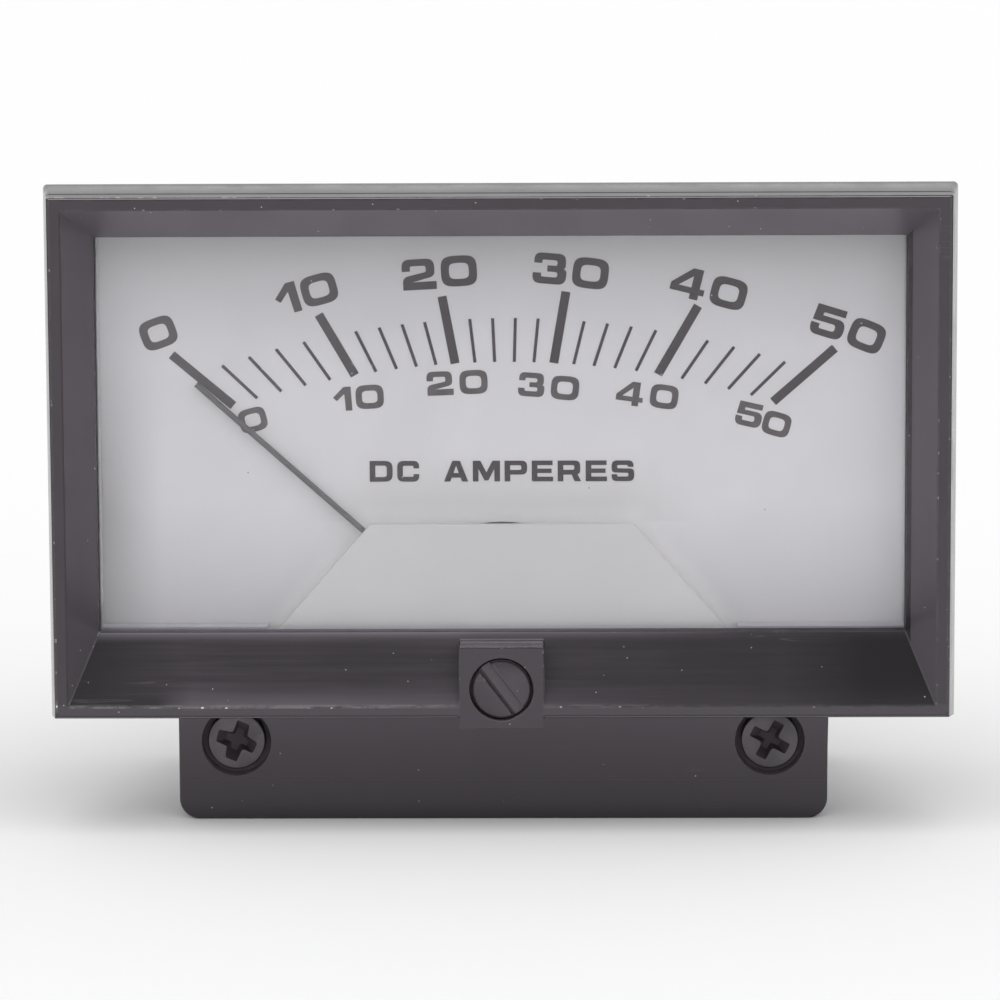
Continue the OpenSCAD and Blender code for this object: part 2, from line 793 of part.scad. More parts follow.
module dial_plate() {
    color("#e6e3da") seat() difference() {
        slab(dial_y, dial_back) round_rect(
            -dial_half, dial_half, face_z - cover_in_z + 0.5, face_z + hook_z - 0.4, 0.8
        );
        rod(0, pivot_z, aperture_r, dial_y - 1, dial_back + 1);
        block(-aperture_r, aperture_r, dial_y - 1, dial_back + 1, 0, pivot_z);
        both_sides() rod(post_x, post_z, dial_screw_d / 2 + 0.1, dial_y - 1, dial_back + 1);
    }
}

module scale_marks() {
    color("#3a3638") seat() slab(dial_y - ink_t, dial_y)
        translate([scale_shift, pivot_z + scale_rise])
            for (i = [0:mark_count - 1]) {
                a = mark_angle(i);
                long = i % 5 == 0;
                w = long ? major_w : minor_w;
                r0 = mark_r(a, scale_rise_in);
                r1 = long ? r0 + mark_long(i) : mark_r(a, scale_rise_minor);
                rotate(-a) translate([-w / 2, r0]) square([w, r1 - r0]);
            }
}

module movement_mask() {
    top = pivot_z + mask_rise;
    low = face_z - cover_in_z + 0.5;
    side_drop = (mask_w - mask_top_w) / 2 * tan(mask_side);
    color("#efece4") seat() difference() {
        union() {
            slab(mask_y, mask_back) polygon([
                [-mask_top_w / 2, top], [-mask_w / 2, top - side_drop], [-mask_w / 2, low],
                [mask_w / 2, low], [mask_w / 2, top - side_drop], [mask_top_w / 2, top]
            ]);
            both_sides() rod(post_x, post_z, 1.75, mask_back - 0.1, dial_y);
        }
        both_sides() {
            rod(post_x, post_z, 1.35, mask_y - 1, dial_y - 0.6);
            rod(post_x, post_z, dial_screw_d / 2 + 0.1, mask_y - 1, dial_y + 1);
        }
        // room for the drive pin of the adjuster
        rod(0, adjuster_z, pin_offset + pin_r + 0.5, mask_y - 1, mask_back + 1);
        block(
            -pin_offset - pin_r - 0.5, pin_offset + pin_r + 0.5, mask_y - 1, mask_back + 1,
            0, adjuster_z
        );
    }
}

// Cheese-head screw with a slot, drawn at the origin, head from -t to 0.
module small_screw(head_d, t, d, reach) {
    difference() {
        rod(0, 0, head_d / 2, -t, 0);
        block(-head_d, head_d, -t - 1, -t * 0.5, -0.15, 0.15);
    }
    rod(0, 0, d / 2, 0, reach);
}

module dial_screws() {
    color("#b8b5ae") seat() both_sides()
        translate([post_x, dial_y - 0.6, post_z]) small_screw(2.5, 0.6, dial_screw_d, 5);
}

// Movement

module movement_frame() {
    color("#4a4644") seat() difference() {
        union() {
            slab(frame_y, frame_back) {
                translate([0, pivot_z]) circle(r = yoke_r + 1);
                translate([-wing_x, pivot_z - wing_h / 2]) square([2 * wing_x, wing_h]);
            }
            both_sides() rod(post_x, post_z, post_r, dial_back, frame_y + 1);
        }
        rod(0, pivot_z, yoke_r, frame_y - 1, frame_back + 1);
        both_sides() {
            rod(post_x, post_z, dial_screw_d / 2, dial_back - 1, dial_back + 5);
            rod(frame_screw_x, pivot_z, frame_screw_d / 2 + 0.15, frame_y - 1, frame_back + 1);
            rod(bridge_screw_x, pivot_z, bridge_screw_d / 2, frame_y - 1, frame_y + 2.2);
            rod(bridge_screw_x, pivot_z, bridge_screw_d / 2, frame_back - 2.2, frame_back + 1);
        }
    }
}

module frame_screws() {
    color("#b8b5ae") seat() both_sides()
        translate([frame_screw_x, frame_y, pivot_z])
            small_screw(3.4, 1, frame_screw_d, frame_back - frame_y + 5);
}

module yoke_ring() {
    color("#8f8c88") seat() difference() {
        rod(0, pivot_z, yoke_r, core_y, core_back);
        rod(0, pivot_z, yoke_in, core_y - 1, core_back + 1);
    }
}

module core_magnet() {
    color("#6a6864") seat() rod(0, pivot_z, core_r, core_y, core_back);
}

module core_spacers() {
    far = 2 * yoke_in;
    color("#b0a890") seat() on_pivot() for (up = [0, 180]) rotate([0, up, 0]) intersection() {
        difference() {
            rod(0, 0, yoke_in, core_y, core_back);
            rod(0, 0, core_r + spacer_play, core_y - 1, core_back + 1);
        }
        slab(core_y - 1, core_back + 1) polygon([
            [0, 0],
            [far * sin(spacer_half), far * cos(spacer_half)],
            [-far * sin(spacer_half), far * cos(spacer_half)]
        ]);
    }
}

// Bar across the movement with two legs that stand on the frame.
module bridge_bar(y0, y1, leg_y0, leg_y1) {
    end = leg_x + leg_w;
    block(-end, end, y0, y1, -bridge_h / 2, bridge_h / 2);
    both_sides() block(leg_x, end, leg_y0, leg_y1, -bridge_h / 2, bridge_h / 2);
}

module front_bridge() {
    stop_x = (crank_r - 0.2) * sin(62) + 0.35;
    color("#c9a552") seat() on_pivot() difference() {
        union() {
            bridge_bar(bridge_y, bridge_back, bridge_y, frame_y);
            rod(0, 0, jewel_screw_d / 2 + 0.4, bridge_y - bridge_boss, bridge_y + 0.1);
            // stops beside the pointer crank
            both_sides() block(stop_x, stop_x + 0.7, bridge_y, bridge_back, 0, crank_r * cos(58));
        }
        rod(0, 0, jewel_screw_d / 2, bridge_y - 2, bridge_back + 1);
        both_sides() rod(bridge_screw_x, 0, bridge_screw_d / 2 + 0.08, bridge_y - 1, frame_y + 1);
    }
}

module rear_bridge() {
    color("#c9a552") seat() on_pivot() difference() {
        bridge_bar(rear_bridge_y, rear_bridge_back, frame_back, rear_bridge_back);
        rod(0, 0, jewel_screw_d / 2, rear_bridge_y - 1, rear_bridge_back + 1);
        both_sides()
            rod(bridge_screw_x, 0, bridge_screw_d / 2 + 0.08, frame_back - 1, rear_bridge_back + 1);
    }
}

module bridge_screws() {
    color("#b8b5ae") seat() on_pivot() both_sides() {
        translate([bridge_screw_x, bridge_y, 0])
            small_screw(2.4, 0.7, bridge_screw_d, frame_y - bridge_y + 2);
        translate([bridge_screw_x, rear_bridge_back, 0]) mirror([0, 1, 0])
            small_screw(2.4, 0.7, bridge_screw_d, rear_bridge_back - frame_back + 2);
    }
}

// Bearing screw drawn from its slotted end at 0 to its jewel end.
module jewel_screw(length) {
    difference() {
        rod(0, 0, jewel_screw_d / 2, 0, length);
        block(-jewel_screw_d, jewel_screw_d, -1, 0.45, -0.18, 0.18);
        rod(0, 0, 0.6, length - 0.62, length + 1);
    }
}

// Cup jewel drawn from its back at 0 to its open end.
module jewel() {
    difference() {
        rod(0, 0, 0.6, 0, 0.62);
        cone(0, 0, 0.05, 0.5, 0.22, 0.63);
    }
}

module front_jewel_screw() {
    start = bridge_y - bridge_boss - nut_t - 0.2;
    color("#d4b56a") seat() on_pivot() translate([0, start, 0]) jewel_screw(jewel_end - start);
}

module rear_jewel_screw() {
    start = rear_bridge_back + nut_t + 0.2;
    color("#d4b56a") seat() on_pivot() translate([0, start, 0]) mirror([0, 1, 0])
        jewel_screw(start - rear_jewel_end);
}

module front_jewel() {
    color("#8c1f3c") seat() on_pivot() translate([0, jewel_end - 0.62, 0]) jewel();
}

module rear_jewel() {
    color("#8c1f3c") seat() on_pivot() translate([0, rear_jewel_end + 0.62, 0]) mirror([0, 1, 0]) jewel();
}

module locknut(y0) {
    color("#d4b56a") seat() on_pivot() difference() {
        slab(y0, y0 + nut_t) circle(r = jewel_screw_d / 2 + 0.85, $fn = 6);
        rod(0, 0, jewel_screw_d / 2, y0 - 1, y0 + nut_t + 1);
    }
}

module front_locknut() {
    locknut(bridge_y - bridge_boss - nut_t);
}

module rear_locknut() {
    locknut(rear_bridge_back);
}

module rear_anchor() {
    color("#c8b27a") seat() on_pivot() {
        difference() {
            slab(rear_bridge_y - 0.35, rear_bridge_y) {
                circle(r = jewel_screw_d / 2 + 1);
                translate([-0.6, 0]) square([1.2, finger_r + 0.4]);
            }
            rod(0, 0, jewel_screw_d / 2, rear_bridge_y - 2, rear_bridge_y + 1);
        }
        block(-0.6, 0.6, rear_spring_y, rear_bridge_y, finger_r, finger_r + 0.4);
    }
}

module front_hairspring() {
    color("#b98a4a") seat() on_pivot() spiral(front_spring_y);
}

module rear_hairspring() {
    color("#b98a4a") seat() on_pivot() spiral(rear_spring_y);
}

// Plan of a loop about the core, from its inside half width and inside depths.
module loop(half, y0, y1, t, r) {
    difference() {
        round_rect(-half - t, half + t, y0 - t, y1 + t, r);
        translate([-half, y0]) square([2 * half, y1 - y0]);
    }
}

module coil_former() {
    color("#c4c6c8") seat() on_pivot(rest_angle) along_z(-coil_w / 2, coil_w / 2)
        loop(former_in, core_y - 0.5, core_back + 0.5, former_t, former_t);
}

module coil_winding() {
    color("#a8562c") seat() on_pivot(rest_angle) along_z(-coil_w / 2 + 0.15, coil_w / 2 - 0.15)
        loop(former_out, core_y - 0.5 - former_t, core_back + 0.5 + former_t, winding_t, winding_t);
}

// Pivot drawn from its base at 0 to its tip.
module pivot(reach) {
    rod(0, 0, coil_w / 2 - 0.15, 0, 0.2);
    rod(0, 0, 0.6, 0.2, reach - 0.52);
    cone(0, 0, 0.3, 0.04, reach - 0.52, reach);
}

module front_pivot() {
    color("#9a9a9c") seat() on_pivot(rest_angle) translate([0, coil_y, 0]) mirror([0, 1, 0])
        pivot(coil_y - jewel_end + 0.34);
}

module rear_pivot() {
    color("#9a9a9c") seat() on_pivot(rest_angle) translate([0, coil_back, 0])
        pivot(rear_jewel_end - coil_back + 0.34);
}

module pointer() {
    r = needle_d / 2;
    arm_y = hub_y + hub_t / 2;
    color("#2e2a2c") seat() on_pivot(rest_angle) difference() {
        union() {
            rod(0, 0, 1.5, hub_y, hub_y + hub_t);
            // arm, crank and needle
            translate([0, arm_y, 0]) cylinder(r = r, h = crank_r);
            translate([0, arm_y, crank_r]) sphere(r = r);
            rod(0, crank_r, r, needle_y, arm_y);
            translate([0, needle_y, crank_r]) sphere(r = r);
            translate([0, needle_y, crank_r]) cylinder(r = r, h = pointer_len - crank_r);
            // tail and cross arms
            translate([0, arm_y, -5.4]) cylinder(r = r, h = 5.4);
            both_sides() translate([0, arm_y, 0]) rotate([0, 90, 0]) cylinder(r = r, h = 4.8);
        }
        rod(0, 0, 0.6, hub_y - 1, hub_y + hub_t + 1);
    }
}

module balance_weights() {
    r = needle_d / 2;
    arm_y = hub_y + hub_t / 2;
    color("#c9a552") seat() on_pivot(rest_angle) {
        translate([0, arm_y, -3.2 - tail_weight_len]) difference() {
            cylinder(d = tail_weight_d, h = tail_weight_len);
            translate([0, 0, -1]) cylinder(r = r, h = tail_weight_len + 2);
        }
        both_sides() translate([3.2, arm_y, 0]) rotate([0, 90, 0]) difference() {
            cylinder(r = 0.55, h = 1.2);
            translate([0, 0, -1]) cylinder(r = r, h = 3);
        }
    }
}

// Leads from the terminals to the bridges

// Bent strip along X from a side view path: depths and heights of its three runs.
module lead_strip(top_y, top_z, bend_z, end_y, end_z) {
    t = lead_t;
    along_x(bridge_screw_x - lead_w / 2, bridge_screw_x + lead_w / 2) polygon([
        [top_y, top_z], [top_y - t, top_z], [top_y - t, bend_z + t], [end_y, bend_z + t],
        [end_y, end_z], [end_y + t, end_z], [end_y + t, bend_z], [top_y, bend_z]
    ]);
}

module front_lead() {
    color("#c9a552") seat() mirror([1, 0, 0]) lead_strip(
        case_in_back - terminal_nut_t, terminal_z + terminal_shank, pivot_z + front_lead_rise,
        bridge_y + (bridge_t - lead_t) / 2, pivot_z + bridge_h / 2
    );
}

module rear_lead() {
    color("#c9a552") seat() lead_strip(
        case_in_back - terminal_nut_t, terminal_z + terminal_shank, pivot_z + rear_lead_rise,
        rear_bridge_y + (bridge_t - lead_t) / 2, pivot_z + bridge_h / 2
    );
}

bezel();
window();
front_cover();
rear_case();
case_screws();
zero_adjust_screw();
dial_plate();
scale_marks();
movement_mask();
dial_screws();
movement_frame();
frame_screws();
yoke_ring();
core_magnet();
core_spacers();
front_bridge();
rear_bridge();
bridge_screws();
front_jewel_screw();
rear_jewel_screw();
front_jewel();
rear_jewel();
front_locknut();
rear_locknut();
zero_lever();
rear_anchor();
front_hairspring();
rear_hairspring();
coil_former();
coil_winding();
front_pivot();
rear_pivot();
pointer();
balance_weights();
terminal_studs();
terminal_washers();
terminal_nuts();
mounting_studs();
front_lead();
rear_lead();
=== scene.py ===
"""Looks of a panel ammeter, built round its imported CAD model.

Lengths are in metres, in the finishes in millimetres. The frame is that of the CAD model: X to the right,
Y to the back, Z up.
"""

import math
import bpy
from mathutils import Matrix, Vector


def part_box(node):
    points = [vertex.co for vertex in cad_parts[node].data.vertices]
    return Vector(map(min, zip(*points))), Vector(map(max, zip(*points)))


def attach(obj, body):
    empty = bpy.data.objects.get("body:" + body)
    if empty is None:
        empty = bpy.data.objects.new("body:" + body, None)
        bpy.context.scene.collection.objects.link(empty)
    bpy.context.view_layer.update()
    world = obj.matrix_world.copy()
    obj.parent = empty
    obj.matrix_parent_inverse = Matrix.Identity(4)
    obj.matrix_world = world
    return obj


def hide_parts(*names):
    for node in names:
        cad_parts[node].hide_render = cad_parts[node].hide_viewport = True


bl_info = {
    "name": "Panel ammeter",
    "version": (1, 0, 0),
    "blender": (4, 5, 0),
    "location": "View3D > Sidebar > Ammeter",
    "description": "Dresses the packed panel ammeter and sets its stage",
    "category": "Object",
}

from functools import partialmethod

import bpy
from bpy.props import FloatProperty, FloatVectorProperty, IntProperty, PointerProperty
from mathutils import Matrix, Vector

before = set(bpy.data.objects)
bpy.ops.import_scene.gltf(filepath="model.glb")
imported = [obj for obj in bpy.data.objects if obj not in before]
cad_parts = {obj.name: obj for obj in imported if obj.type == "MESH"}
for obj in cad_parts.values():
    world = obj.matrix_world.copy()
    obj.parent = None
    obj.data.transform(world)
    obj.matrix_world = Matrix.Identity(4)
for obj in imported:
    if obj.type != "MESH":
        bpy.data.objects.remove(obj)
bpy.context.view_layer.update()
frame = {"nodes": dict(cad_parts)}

MM = 0.001
IMAGE_SIDE = 1000
SENSOR = 36.0
WELD = 1e-6

# Height of the middle of the front face, from which the dial's places are measured
FACE_Z = 27.1 * MM
FACE_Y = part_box("bezel")[0].y

# For the finishes: depth of the seam on the top wall and half the width of the mask's top in mm,
# slope of the mask's sides, turn of the adjuster's slot and sheen of the plastic
# The mask's sizes place painted light on the dial, the slot's turn a painted shadow in the slot
SEAM_DEPTH = 1.2
MASK_TOP_HALF = 9.45
MASK_SIDE = math.radians(49)
SLOT_TURN = math.radians(36.5)
PLASTIC_SHINE = 0.66

# Numbers of the scale: digit, distance to the right and up from the middle of the face in mm, turn in degrees
OUTER_NUMBERS = {
    "0": [("0", -24.55, 8.2, 20)],
    "10": [("1", -15.3, 10.65, 15), ("0", -13.0, 11.3, 15)],
    "20": [("2", -5.85, 12.35, 3), ("0", -3.0, 12.6, 3)],
    "30": [("3", 3.5, 12.75, -5), ("0", 6.4, 12.4, -7)],
    "40": [("4", 13.4, 11.7, -14), ("0", 16.25, 10.95, -15)],
    "50": [("5", 23.4, 8.85, -17), ("0", 26.1, 7.85, -22)],
}
INNER_NUMBERS = {
    "0": [("0", -17.85, 1.9, 15)],
    "10": [("1", -11.4, 3.4, 3), ("0", -9.45, 3.55, 3)],
    "20": [("2", -4.4, 4.5, 2), ("0", -2.0, 4.6, 2)],
    "30": [("3", 2.15, 4.4, -4), ("0", 4.55, 4.15, -5)],
    "40": [("4", 9.2, 3.75, -8), ("0", 11.65, 3.5, -8)],
    "50": [("5", 17.75, 2.2, -13), ("0", 19.7, 1.5, -16)],
}

# Outlines of the printed characters: corners, some with a radius, in heights of a character
GLYPHS = {
    "1": [
        [(0.77, 0), (0.75, 1), (0.45, 1, 0.05), (0, 0.57), (0.15, 0.42), (0.47, 0.71), (0.5, 0)],
    ],
    "2": [[
        (0, 0.61), (0, 1, 0.25), (1.06, 1, 0.27), (1.06, 0.43, 0.2), (0.32, 0.25), (1.11, 0.26),
        (1.11, 0), (0.02, 0), (0.02, 0.42, 0.22), (0.78, 0.57, 0.07), (0.78, 0.78, 0.08),
        (0.27, 0.78, 0.06), (0.27, 0.61),
    ]],
    "3": [[
        (0.02, 0.66), (0.02, 1, 0.23), (1.05, 1, 0.25), (1.05, 0.55, 0.1), (0.99, 0.51),
        (1.09, 0.46, 0.1), (1.09, 0, 0.27), (0, 0, 0.25), (0, 0.34), (0.27, 0.34), (0.27, 0.22, 0.06),
        (0.8, 0.22, 0.08), (0.8, 0.4, 0.08), (0.46, 0.4), (0.46, 0.6), (0.78, 0.6, 0.08),
        (0.78, 0.78, 0.08), (0.28, 0.78, 0.06), (0.28, 0.66),
    ]],
    "4": [
        [
            (0.62, 1), (0.96, 1), (0.96, 0.37), (1.12, 0.37), (1.12, 0.17), (0.96, 0.17), (0.96, 0),
            (0.68, 0), (0.68, 0.17), (0, 0.17), (0, 0.41),
        ],
        [(0.68, 0.75), (0.68, 0.37), (0.25, 0.37)],
    ],
    "5": [[
        (0.06, 1), (1.04, 1), (1.04, 0.77), (0.33, 0.77), (0.31, 0.66), (1.1, 0.66, 0.28), (1.1, 0, 0.32),
        (0, 0, 0.27), (0, 0.38), (0.28, 0.37), (0.28, 0.22, 0.06), (0.8, 0.22, 0.1), (0.8, 0.46, 0.1),
        (0.02, 0.46),
    ]],
    "A": [
        [(0, 0), (0.4, 1), (0.76, 1), (1.16, 0), (0.86, 0), (0.79, 0.19), (0.37, 0.19), (0.3, 0)],
        [(0.45, 0.41), (0.71, 0.41), (0.58, 0.77)],
    ],
    "C": [[
        (1.05, 0.64), (1.05, 1, 0.28), (0, 1, 0.3), (0, 0, 0.3), (1.05, 0, 0.28), (1.05, 0.36),
        (0.78, 0.36), (0.78, 0.23, 0.06), (0.27, 0.23, 0.08), (0.27, 0.77, 0.08), (0.78, 0.77, 0.06),
        (0.78, 0.64),
    ]],
    "D": [
        [(0, 0), (0, 1), (1.1, 1, 0.36), (1.1, 0, 0.36)],
        [(0.27, 0.22), (0.27, 0.78), (0.82, 0.78, 0.14), (0.82, 0.22, 0.14)],
    ],
    "E": [[
        (0, 0), (0, 1), (1, 1), (1, 0.78), (0.27, 0.78), (0.27, 0.61), (0.95, 0.61), (0.95, 0.4),
        (0.27, 0.4), (0.27, 0.22), (1.02, 0.22), (1.02, 0),
    ]],
    "M": [[
        (0, 0), (0, 1), (0.36, 1), (0.65, 0.44), (0.94, 1), (1.3, 1), (1.3, 0), (1.03, 0), (1.03, 0.6),
        (0.74, 0.05), (0.56, 0.05), (0.27, 0.6), (0.27, 0),
    ]],
    "P": [
        [(0, 0), (0, 1), (1.08, 1, 0.28), (1.08, 0.33, 0.28), (0.27, 0.33), (0.27, 0)],
        [(0.27, 0.78), (0.27, 0.55), (0.8, 0.55, 0.09), (0.8, 0.78, 0.09)],
    ],
    "R": [
        [
            (0, 0), (0, 1), (1.08, 1, 0.26), (1.08, 0.38, 0.18), (0.95, 0.34), (1.12, 0), (0.81, 0),
            (0.67, 0.32), (0.27, 0.32), (0.27, 0),
        ],
        [(0.27, 0.78), (0.27, 0.55), (0.8, 0.55, 0.09), (0.8, 0.78, 0.09)],
    ],
    "S": [[
        (0.78, 0.69), (1.05, 0.69), (1.05, 1, 0.25), (0, 1, 0.27), (0, 0.42, 0.2), (0.8, 0.4, 0.05),
        (0.8, 0.22, 0.06), (0.27, 0.22, 0.05), (0.27, 0.33), (0, 0.33), (0, 0, 0.25), (1.08, 0, 0.27),
        (1.08, 0.6, 0.2), (0.27, 0.62, 0.05), (0.27, 0.78, 0.06), (0.78, 0.78, 0.05),
    ]],
}

# The wide zero and the gaps of the lettering, in heights of a character, and how far the lettering is
# up from the middle of the face in mm
ZERO_W = 1.17
ZERO_WALL = 0.262
ZERO_CURVE = 3.6
LETTERING = "DC AMPERES"
LETTER_GAP = 0.22
WORD_GAP = 0.75
LETTERING_UP = -1.85


class AmmeterSizes(bpy.types.PropertyGroup):
    """Sizes of the pieces that the looks add to the CAD model"""

    edge_radius: FloatProperty(
        name="Edge radius", description="Rounding of the moulded edges", default=0.07 * MM, unit="LENGTH"
    )
    corner_radius: FloatProperty(
        name="Corner radius", description="Rounding of the upper corners of the front",
        default=0.3 * MM, unit="LENGTH",
    )
    case_edge_radius: FloatProperty(
        name="Case edge radius", description="Rounding of the edges of the rear case",
        default=0.2 * MM, unit="LENGTH",
    )
    outer_number: FloatProperty(
        name="Outer numbers", description="Height of the numbers outside the marks",
        default=2.2 * MM, unit="LENGTH",
    )
    inner_number: FloatProperty(
        name="Inner numbers", description="Height of the numbers inside the marks",
        default=1.72 * MM, unit="LENGTH",
    )
    lettering: FloatProperty(
        name="Lettering", description="Height of the lettering on the dial", default=1.5 * MM, unit="LENGTH"
    )
    terminal_pitch: FloatProperty(
        name="Terminal pitch", description="Thread pitch of the terminal studs",
        default=0.7 * MM, unit="LENGTH",
    )
    stud_pitch: FloatProperty(
        name="Stud pitch", description="Thread pitch of the mounting studs", default=0.5 * MM, unit="LENGTH"
    )
    thread_steps: IntProperty(name="Thread steps", description="Steps in each turn of a thread", default=28)


class AmmeterColours(bpy.types.PropertyGroup):
    """Colours of the finishes"""

    plastic: FloatVectorProperty(
        name="Plastic", description="Moulded frame and cover",
        default=(0.0265, 0.0238, 0.0275), subtype="COLOR",
    )
    # The worn colour also serves for painted highlights on the top chamfer and along edges
    worn: FloatVectorProperty(
        name="Worn edge", description="Rubbed edges of the plastic",
        default=(0.2, 0.19, 0.2), subtype="COLOR",
    )
    dust: FloatVectorProperty(
        name="Dust", description="Specks of dust", default=(0.55, 0.53, 0.52), subtype="COLOR"
    )
    dial: FloatVectorProperty(
        name="Dial", description="Paint of the dial plate", default=(0.78, 0.78, 0.805), subtype="COLOR"
    )
    mask: FloatVectorProperty(
        name="Mask", description="Plate in front of the movement",
        default=(0.645, 0.645, 0.65), subtype="COLOR",
    )
    ink: FloatVectorProperty(
        name="Ink", description="Print on the dial", default=(0.021, 0.012, 0.019), subtype="COLOR"
    )
    pale_ink: FloatVectorProperty(
        name="Pale ink", description="Print of the inner numbers",
        default=(0.068, 0.058, 0.064), subtype="COLOR",
    )
    steel: FloatVectorProperty(
        name="Steel", description="Bright screws and studs", default=(0.56, 0.55, 0.53), subtype="COLOR"
    )
    brass: FloatVectorProperty(
        name="Brass", description="Terminals and bridges", default=(0.78, 0.55, 0.24), subtype="COLOR"
    )


def sizes():
    return bpy.context.scene.ammeter_sizes


def colours():
    return bpy.context.scene.ammeter_colours


# Selection and edit mode


def pick(*objects):
    """Selects only these objects and makes the first one active."""
    if bpy.context.object and bpy.context.object.mode != "OBJECT":
        bpy.ops.object.mode_set(mode="OBJECT")
    bpy.ops.object.select_all(action="DESELECT")
    for obj in objects:
        obj.select_set(True)
    bpy.context.view_layer.objects.active = objects[0]
    return objects[0]


def edit(obj, mode="FACE"):
    """Opens one object in edit mode with nothing selected."""
    pick(obj)
    bpy.ops.object.mode_set(mode="EDIT")
    bpy.ops.mesh.select_mode(type=mode)
    bpy.ops.mesh.select_all(action="DESELECT")


def close_edit():
    bpy.ops.object.mode_set(mode="OBJECT")


def select_faces(obj, test):
    """Selects the faces of an object in edit mode whose centre and normal pass a test."""
    bpy.ops.object.mode_set(mode="OBJECT")
    found = 0
    for polygon in obj.data.polygons:
        polygon.select = test(polygon.center, polygon.normal)
        found += polygon.select
    bpy.ops.object.mode_set(mode="EDIT")
    if not found:
        raise RuntimeError(f"{obj.name}: no face passes the test")


def place_in_mesh(obj):
    """Moves an object's place, turn and scale into its mesh."""
    pick(obj)
    bpy.ops.object.transform_apply(location=True, rotation=True, scale=True)


def named(name):
    """The active object, with a new name."""
    obj = bpy.context.object
    obj.name = name
    return obj


def duplicate(obj, name):
    """Copies an object with a mesh of its own."""
    pick(obj)
    bpy.ops.object.duplicate(linked=False)
    return named(name)


def remove(obj):
    pick(obj)
    bpy.ops.object.delete()


def join(name, objects):
    pick(*objects)
    bpy.ops.object.join()
    return named(name)


def apply_modifiers(obj):
    pick(obj)
    for modifier in list(obj.modifiers):
        bpy.ops.object.modifier_apply(modifier=modifier.name)


def smooth(obj, angle):
    pick(obj)
    bpy.ops.object.shade_smooth_by_angle(angle=math.radians(angle))


def paint(obj, *materials):
    """Gives an object these materials in order."""
    while len(obj.material_slots) < len(materials):
        obj.data.materials.append(None)
    for slot, material in zip(obj.material_slots, materials):
        slot.material = material


def paint_where(piece, index, test):
    """Gives one of its materials to the faces whose centre and normal pass a test."""
    for polygon in piece.data.polygons:
        if test(polygon.center, polygon.normal):
            polygon.material_index = index


def carry(piece, body, slot, *nodes):
    """Lets a piece ride on a body and hides the nodes that it stands for; its slot is not used."""
    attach(piece, body)
    if nodes:
        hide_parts(*nodes)


# Materials


def fill(socket, value):
    """Links a field to an input of a node, or sets a plain value there."""
    if isinstance(value, Field):
        socket.id_data.links.new(value.socket, socket)
    elif socket.type == "RGBA":
        socket.default_value = (*value, 1.0)
    else:
        socket.default_value = value


def put(tree, kind, settings=None, **inputs):
    """Adds a node, sets its attributes and fills its inputs, in whose names _ stands for a space."""
    node = tree.nodes.new(kind)
    for name, value in (settings or {}).items():
        setattr(node, name, value)
    for name, value in inputs.items():
        fill(node.inputs[name.replace("_", " ")], value)
    return node


def scaled(colour, factor):
    return tuple(min(1.0, c * factor) for c in colour)


class Field:
    """A number or a colour that varies over a surface: an output of a node, on which further nodes build."""

    def __init__(self, socket):
        self.socket, self.tree = socket, socket.id_data

    def combine(self, operation, other=0.0):
        node = put(self.tree, "ShaderNodeMath", {"operation": operation})
        fill(node.inputs[0], self)
        fill(node.inputs[1], other)
        return Field(node.outputs["Value"])

    __add__ = partialmethod(combine, "ADD")
    __sub__ = partialmethod(combine, "SUBTRACT")
    __mul__ = partialmethod(combine, "MULTIPLY")
    __pow__ = partialmethod(combine, "POWER")
    __lt__ = partialmethod(combine, "LESS_THAN")
    __gt__ = partialmethod(combine, "GREATER_THAN")
    __abs__ = partialmethod(combine, "ABSOLUTE")
    most = partialmethod(combine, "MAXIMUM")

    def ramp(self, low, high, to_low=0.0, to_high=1.0):
        """Maps a range of the number onto another, with its ends held."""
        ends = {"From_Min": low, "From_Max": high, "To_Min": to_low, "To_Max": to_high}
        return Field(put(self.tree, "ShaderNodeMapRange", Value=self, **ends).outputs["Result"])

    def within(self, start, end, fade):
        """One between a start and an end, fading to zero outside them."""
        return self.ramp(start - fade, start) * self.ramp(end + fade, end)

    def mix(self, first, second):
        """Two colours, each a triple or a field, mixed by this number."""
        node = put(self.tree, "ShaderNodeMix", {"data_type": "RGBA"})
        for number, value in ((0, self), (6, first), (7, second)):
            fill(node.inputs[number], value)
        return Field(node.outputs[2])

    def tones(self, colour, low, high):
        """Two tones of a colour, mixed by this number."""
        return self.mix(scaled(colour, low), scaled(colour, high))

    def lay(self, where, colour, factor=1.0):
        """This colour with a field, or a colour times a factor, laid over it where a number is one."""
        return where.mix(self, colour if isinstance(colour, Field) else scaled(colour, factor))

    def coats(self, colour, *coats):
        """This colour with tones of another laid over it, each a place and a factor."""
        result = self
        for where, factor in coats:
            result = result.lay(where, colour, factor)
        return result


